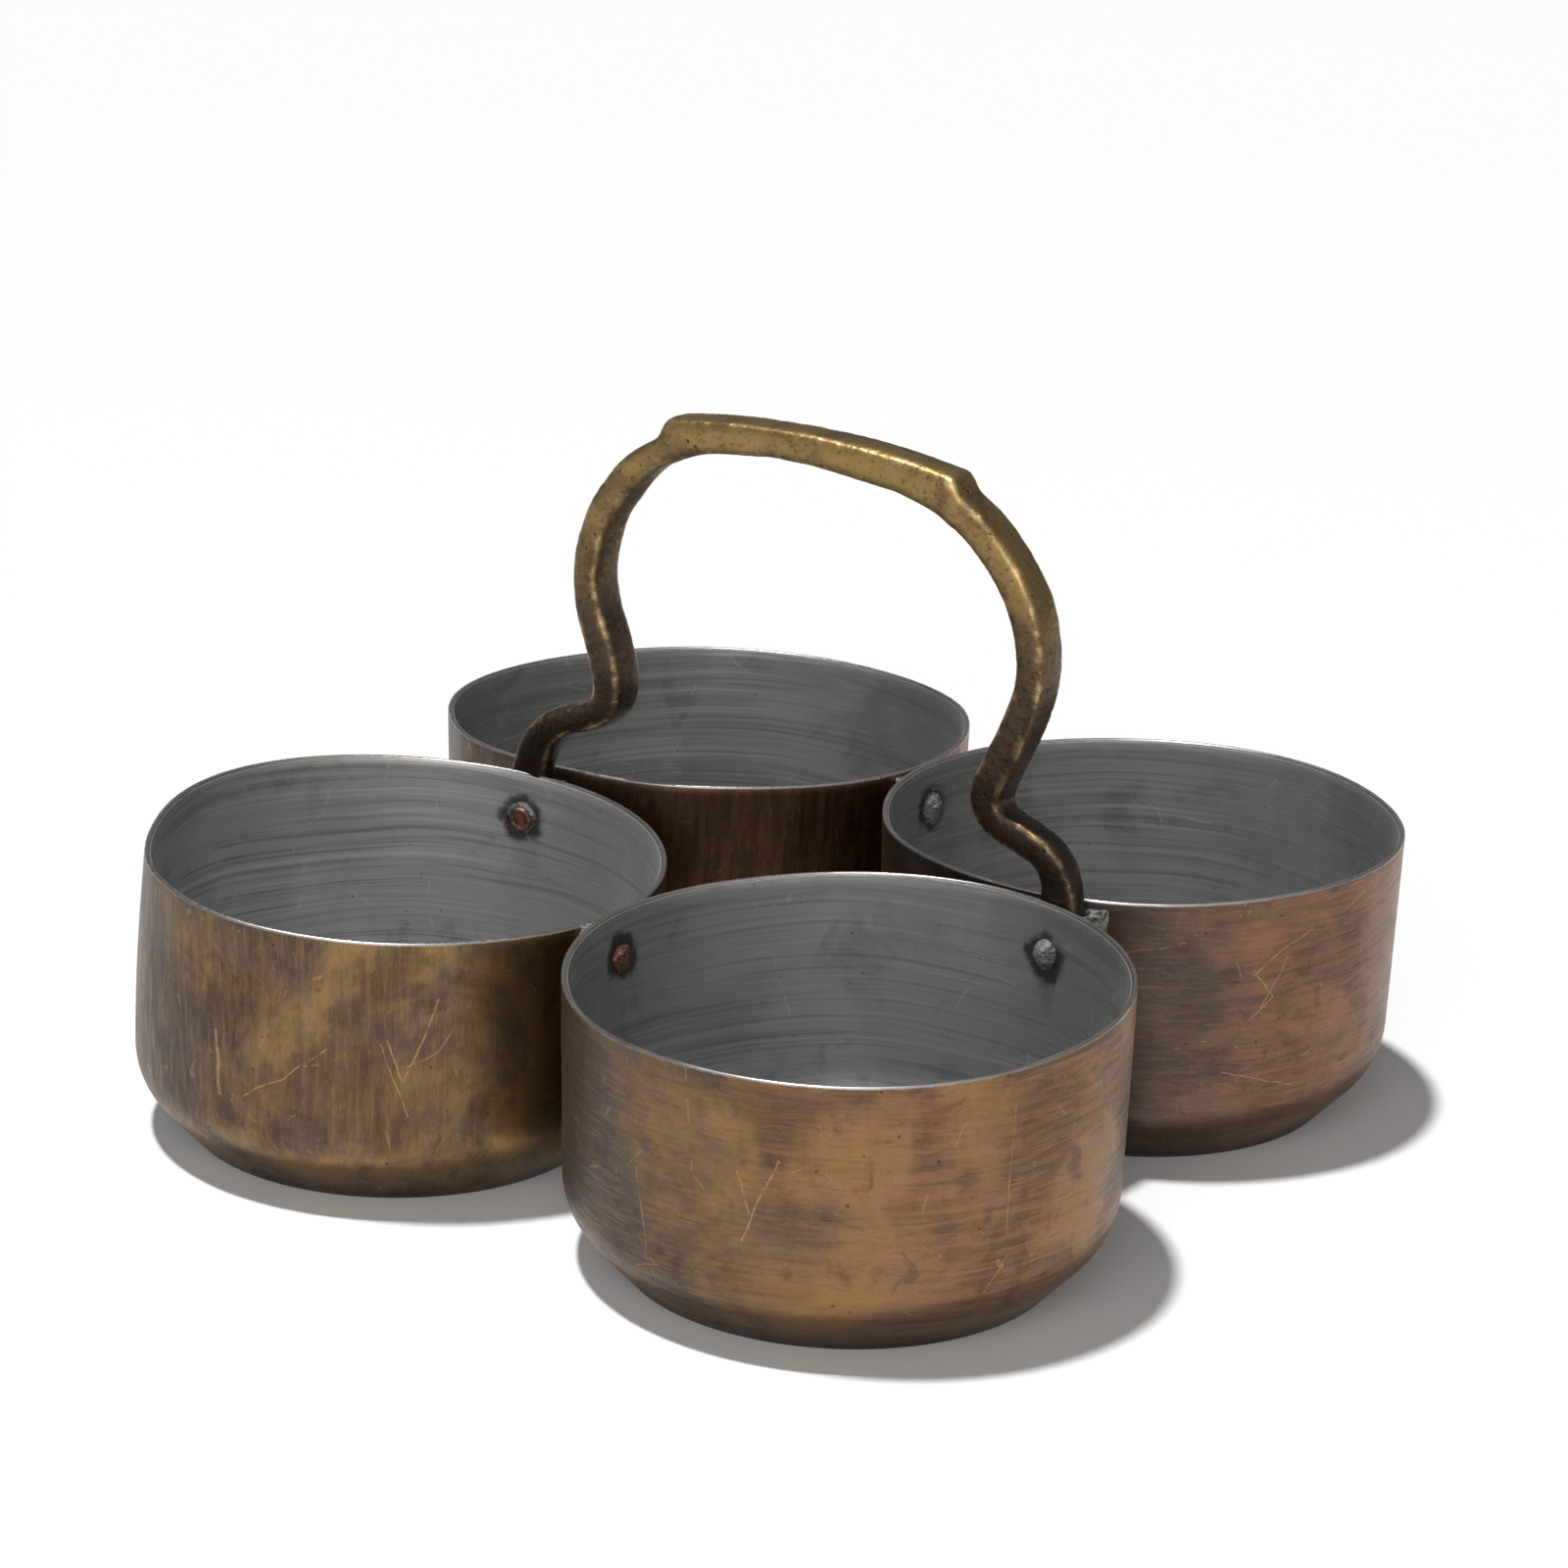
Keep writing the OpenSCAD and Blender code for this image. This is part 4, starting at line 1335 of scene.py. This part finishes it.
@dataclass
class Studio:
    """A white floor, even light from the room, one high lamp and one wide soft lamp, and the camera."""

    camera_place: tuple = (0.6993, -1.01887, 0.50361)
    pitch_down: float = 18.663
    heading: float = -34.351
    roll: float = 1.948
    lens: float = 115.67
    sun_strength: float = 3.0
    room: float = 0.09
    room_behind: float = 0.21
    room_before: float = 0.80
    sun_angle: float = 4.0
    sun_fall: tuple = (0.155, 0.105, -1.0)
    soft_size: float = 0.9
    soft_power: float = 5.0
    soft_place: tuple = (0.55, -1.25, 0.75)
    soft_aim: tuple = (0, 0, 0.04)
    floor_size: float = 12.0
    floor_grey: float = 0.86
    floor_glow: float = 0.08
    sensor: float = 36.0

    def build(self) -> None:
        """Builds the stage, the lamps and the camera."""
        self.floor()
        self.world()
        self.lamps()
        self.camera()
        scene = bpy.context.scene
        scene.view_settings.view_transform = "Standard"

    def floor(self) -> None:
        """Lays the white floor, which shows itself a little brighter to the camera and in reflections."""
        deselect_all()
        bpy.ops.mesh.primitive_plane_add(size=self.floor_size, location=(0, 0, 0))
        piece = new_piece("floor")
        material = bpy.data.materials.new("white_floor")
        material.use_nodes = True
        graph = Graph(material.node_tree)
        grey = self.floor_grey
        paper = graph.node("BsdfDiffuse", {"Color": (grey, grey, grey, 1.0)})
        path = graph.node("LightPath", {}).outputs
        seen = graph.math("MAXIMUM", path["Is Camera Ray"],
                          graph.math("MAXIMUM", path["Is Glossy Ray"], path["Is Transmission Ray"]))
        strength = graph.math("MULTIPLY", seen, self.floor_glow)
        glow = graph.node("Emission", {"Color": (1, 1, 1, 1), "Strength": strength})
        both = graph.node("AddShader", {0: paper.outputs[0], 1: glow.outputs[0]})
        output = graph.node("OutputMaterial", {})
        graph.put(output.inputs["Surface"], both.outputs[0])
        piece.data.materials.append(material)

    def world(self) -> None:
        """Sets the even light of the room, white where the camera looks past the floor."""
        world = bpy.data.worlds.new("room")
        bpy.context.scene.world = world
        world.use_nodes = True
        graph = Graph(world.node_tree)
        path = graph.node("LightPath", {}).outputs
        toward = Vector(self.camera_place).normalized()
        direction = graph.node("TexCoord", {}).outputs["Generated"]
        along = graph.node("VectorMath", {0: direction, 1: tuple(toward)}, operation="DOT_PRODUCT")
        facing = along.outputs["Value"]
        glossy = graph.step(facing, 0.1, 0.95, self.room_behind, self.room_before)
        level = graph.node(
            "MapRange", {"Value": path["Is Glossy Ray"], "To Min": self.room, "To Max": glossy})
        level = graph.math("MAXIMUM", level.outputs["Result"], path["Is Camera Ray"])
        back = graph.node("Background", {"Color": (1, 1, 1, 1), "Strength": level})
        output = graph.node("OutputWorld", {})
        graph.put(output.inputs["Surface"], back.outputs[0])

    def lamps(self) -> None:
        """Hangs the high lamp that draws the shadows and the soft one on the camera's side."""
        sun = bpy.data.lights.new("high_lamp", "SUN")
        sun.energy = self.sun_strength
        sun.angle = radians(self.sun_angle)
        high = bpy.data.objects.new("high_lamp", sun)
        bpy.context.scene.collection.objects.link(high)
        high.rotation_euler = Vector(self.sun_fall).to_track_quat("-Z", "Y").to_euler()
        soft = bpy.data.lights.new("soft_lamp", "AREA")
        soft.shape = "RECTANGLE"
        soft.size = self.soft_size
        soft.size_y = self.soft_size
        soft.energy = self.soft_power
        lamp = bpy.data.objects.new("soft_lamp", soft)
        bpy.context.scene.collection.objects.link(lamp)
        lamp.location = self.soft_place
        aim = Vector(self.soft_aim) - lamp.location
        lamp.rotation_euler = aim.to_track_quat("-Z", "Y").to_euler()

    def camera(self) -> None:
        """Places the camera at its viewing angle."""
        data = bpy.data.cameras.new("camera")
        data.lens = self.lens
        data.sensor_width = self.sensor
        data.clip_start = 0.05
        data.clip_end = 50.0
        camera = bpy.data.objects.new("camera", data)
        bpy.context.scene.collection.objects.link(camera)
        yaw, pitch, roll = radians(self.heading), radians(self.pitch_down), radians(self.roll)
        forward = Vector((sin(yaw) * cos(pitch), cos(yaw) * cos(pitch), -sin(pitch)))
        right = Vector((cos(yaw), -sin(yaw), 0))
        up = right.cross(forward)
        side = right * cos(roll) + up * sin(roll)
        top = up * cos(roll) - right * sin(roll)
        turn = Matrix((side, top, -forward)).transposed().to_4x4()
        camera.matrix_world = Matrix.Translation(self.camera_place) @ turn
        bpy.context.scene.camera = camera


# ----------------------------------------------------------------------------
# The whole carrier
# ----------------------------------------------------------------------------

def make_bowls() -> dict:
    """Returns the four bowls by side, each with its own patina and its own unevenness."""
    # Each bowl's shaded-side bearing sets where its wall is darkened as painted shade.
    front = AgedBrass("brass_front", Brushing.ROUND, seed=0.3, scratches=(
        Scratch(((-67.5, 54), (-70.5, 46), (-74.5, 33))), Scratch(((-76, 50), (-73, 40)), 0.25),
        Scratch(((-20.5, 66), (-20.8, 33)), 0.2), Scratch(((-22.6, 27), (-21.6, 25.5)), 0.9),
        Scratch(((-100, 44), (-96, 16)), 0.2)))
    left = AgedBrass("brass_left", Brushing.UPRIGHT, gold=(0.29, 0.18, 0.075), seed=1.9, brown_from=0.52,
                     shaded_side=-142, copper_side=70, copper_from=0.70, scratches=(
        Scratch(((-84, 30), (-74, 37), (-64, 47)), 0.3),
        Scratch(((-51.6, 49), (-48.2, 38), (-41, 60)), 0.35),
        Scratch(((-53, 48), (-47.4, 29)), 0.25), Scratch(((-47.5, 42), (-41.5, 46), (-38, 52)), 0.3),
        Scratch(((-90.8, 45), (-90.6, 29)), 0.7)))
    back = AgedBrass("brass_back", Brushing.UPRIGHT, gold=(0.16, 0.10, 0.055), brown=(0.07, 0.045, 0.035),
                     plum=(0.12, 0.06, 0.045), seed=3.2)
    right = AgedBrass("brass_right", Brushing.ROUND, gold=(0.20, 0.12, 0.07), plum=(0.13, 0.085, 0.085),
                      copper=(0.30, 0.145, 0.095), seed=4.7, copper_from=0.52, shaded_side=-92, scratches=(
        Scratch(((-18, 66), (-26, 62), (-32, 56)), 0.3), Scratch(((-32, 57), (-27, 50), (-33, 43)), 0.25),
        Scratch(((-24, 60), (-30, 47)), 0.2), Scratch(((-38, 30), (-20, 24)), 0.2)))
    # Painted highlight: the left lining is a paler copy of the tin, for its brightly lit floor.
    lit_left_tin = DullTin("tin_left", grey=(0.40, 0.40, 0.39), pale=(0.60, 0.60, 0.59), seed=2.2)
    return {
        "front": Bowl("front", front, DullTin("tin_front", seed=0.7), (0.57, 1.95), -0.34, 0.6, (180, 78)),
        "left": Bowl("left", left, lit_left_tin, (-2.65, -0.40), 0.50, 2.0, (0, 99),
                     (Dent(214, 52, 5.0 * MM, 2.2), Dent(255, 22, 0.8 * MM, 3.0))),
        "back": Bowl("back", back, DullTin("tin_back", seed=3.9), (1.52, -2.35), -2.18, 3.4, (-1.2,),
                     (Dent(-92, 34, 3.0 * MM, 2.6),)),
        "right": Bowl("right", right, DullTin("tin_right", seed=5.1), (0.88, 0.0), 0.30, 4.9, (178.8, -74)),
    }


def line_bearing(start: Bowl, end: Bowl) -> float:
    """Returns the bearing in radians from one bowl's middle to another's."""
    away = end.centre - start.centre
    return atan2(away.y, away.x)


def foot_bearing(bowl: Bowl, foot: Vector, height: float) -> float:
    """Returns the bearing at which a foot's rivet comes through the inside of a bowl."""
    reach = bowl.wall_radius(height, bowl.wall + bowl.tin_wall)
    away = foot - bowl.centre
    return acos((foot.x - bowl.centre.x) / reach) * (1 if away.y > 0 else -1)


def middle_of(node: str) -> Vector:
    """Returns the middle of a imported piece's box."""
    low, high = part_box(node)
    return (low + high) / 2


def make_rivets(bowls: dict) -> list:
    """Makes the four rivets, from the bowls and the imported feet.

    Args:
        bowls: The bowls by side.

    Returns:
        The rivets, not yet built.
    """
    height = middle_of("rove_left_front").z
    left_foot, right_foot = middle_of("solder_left_foot"), middle_of("solder_right_foot")
    front, left, back, right = (bowls[side] for side in ("front", "left", "back", "right"))
    copper = HammeredCopper("rivet_copper")
    tinned = SoftSolder("tinned_rivet", grey=(0.24, 0.24, 0.235), crust=(0.36, 0.365, 0.34))
    washer = SoftSolder("washer_tin", grey=(0.13, 0.13, 0.125), crust=(0.26, 0.26, 0.24))
    return [
        Rivet("left_front", WallEnd(front, line_bearing(front, left), height),
              WallEnd(left, line_bearing(left, front), height), copper, washer, "copper", 2),
        Rivet("back_right", WallEnd(right, line_bearing(right, back), height),
              WallEnd(back, line_bearing(back, right), height), tinned, washer, "copper", 4, stretch=1.25),
        Rivet("left_foot", WallEnd(back, foot_bearing(back, left_foot, height), height),
              WallEnd(left, foot_bearing(left, left_foot, height), height), copper, washer, "copper", 6),
        Rivet("right_foot", WallEnd(front, foot_bearing(front, right_foot, height), height),
              WallEnd(right, foot_bearing(right, right_foot, height), height), tinned, washer, "copper", 8),
    ]


def main() -> None:
    """Builds the carrier and its studio."""
    logging.basicConfig(level=logging.INFO, format="%(name)s %(message)s")
    Studio().build()
    effects = Effects()
    bowls = make_bowls()
    rivets = make_rivets(bowls)
    for bowl in bowls.values():
        ends = [end for rivet in rivets for end in (rivet.head, rivet.tail) if end.bowl is bowl]
        spots = tuple(tuple(end.matrix().translation - bowl.centre) for end in ends)
        bowl.tin = replace(bowl.tin, rivets=spots)
        bowl.build(effects)
    for rivet in rivets:
        rivet.build(effects)
    solder = SoftSolder()
    for seed, where in enumerate(("left_front", "back_right", "left_foot", "right_foot")):
        Solder(where, solder, 11 + seed).build(effects)
    rim = bowls["front"].height
    Handle(CastBrass(), middle_of("solder_left_foot"), middle_of("solder_right_foot"), rim).build(effects)


if __name__ == "__main__":
    main()
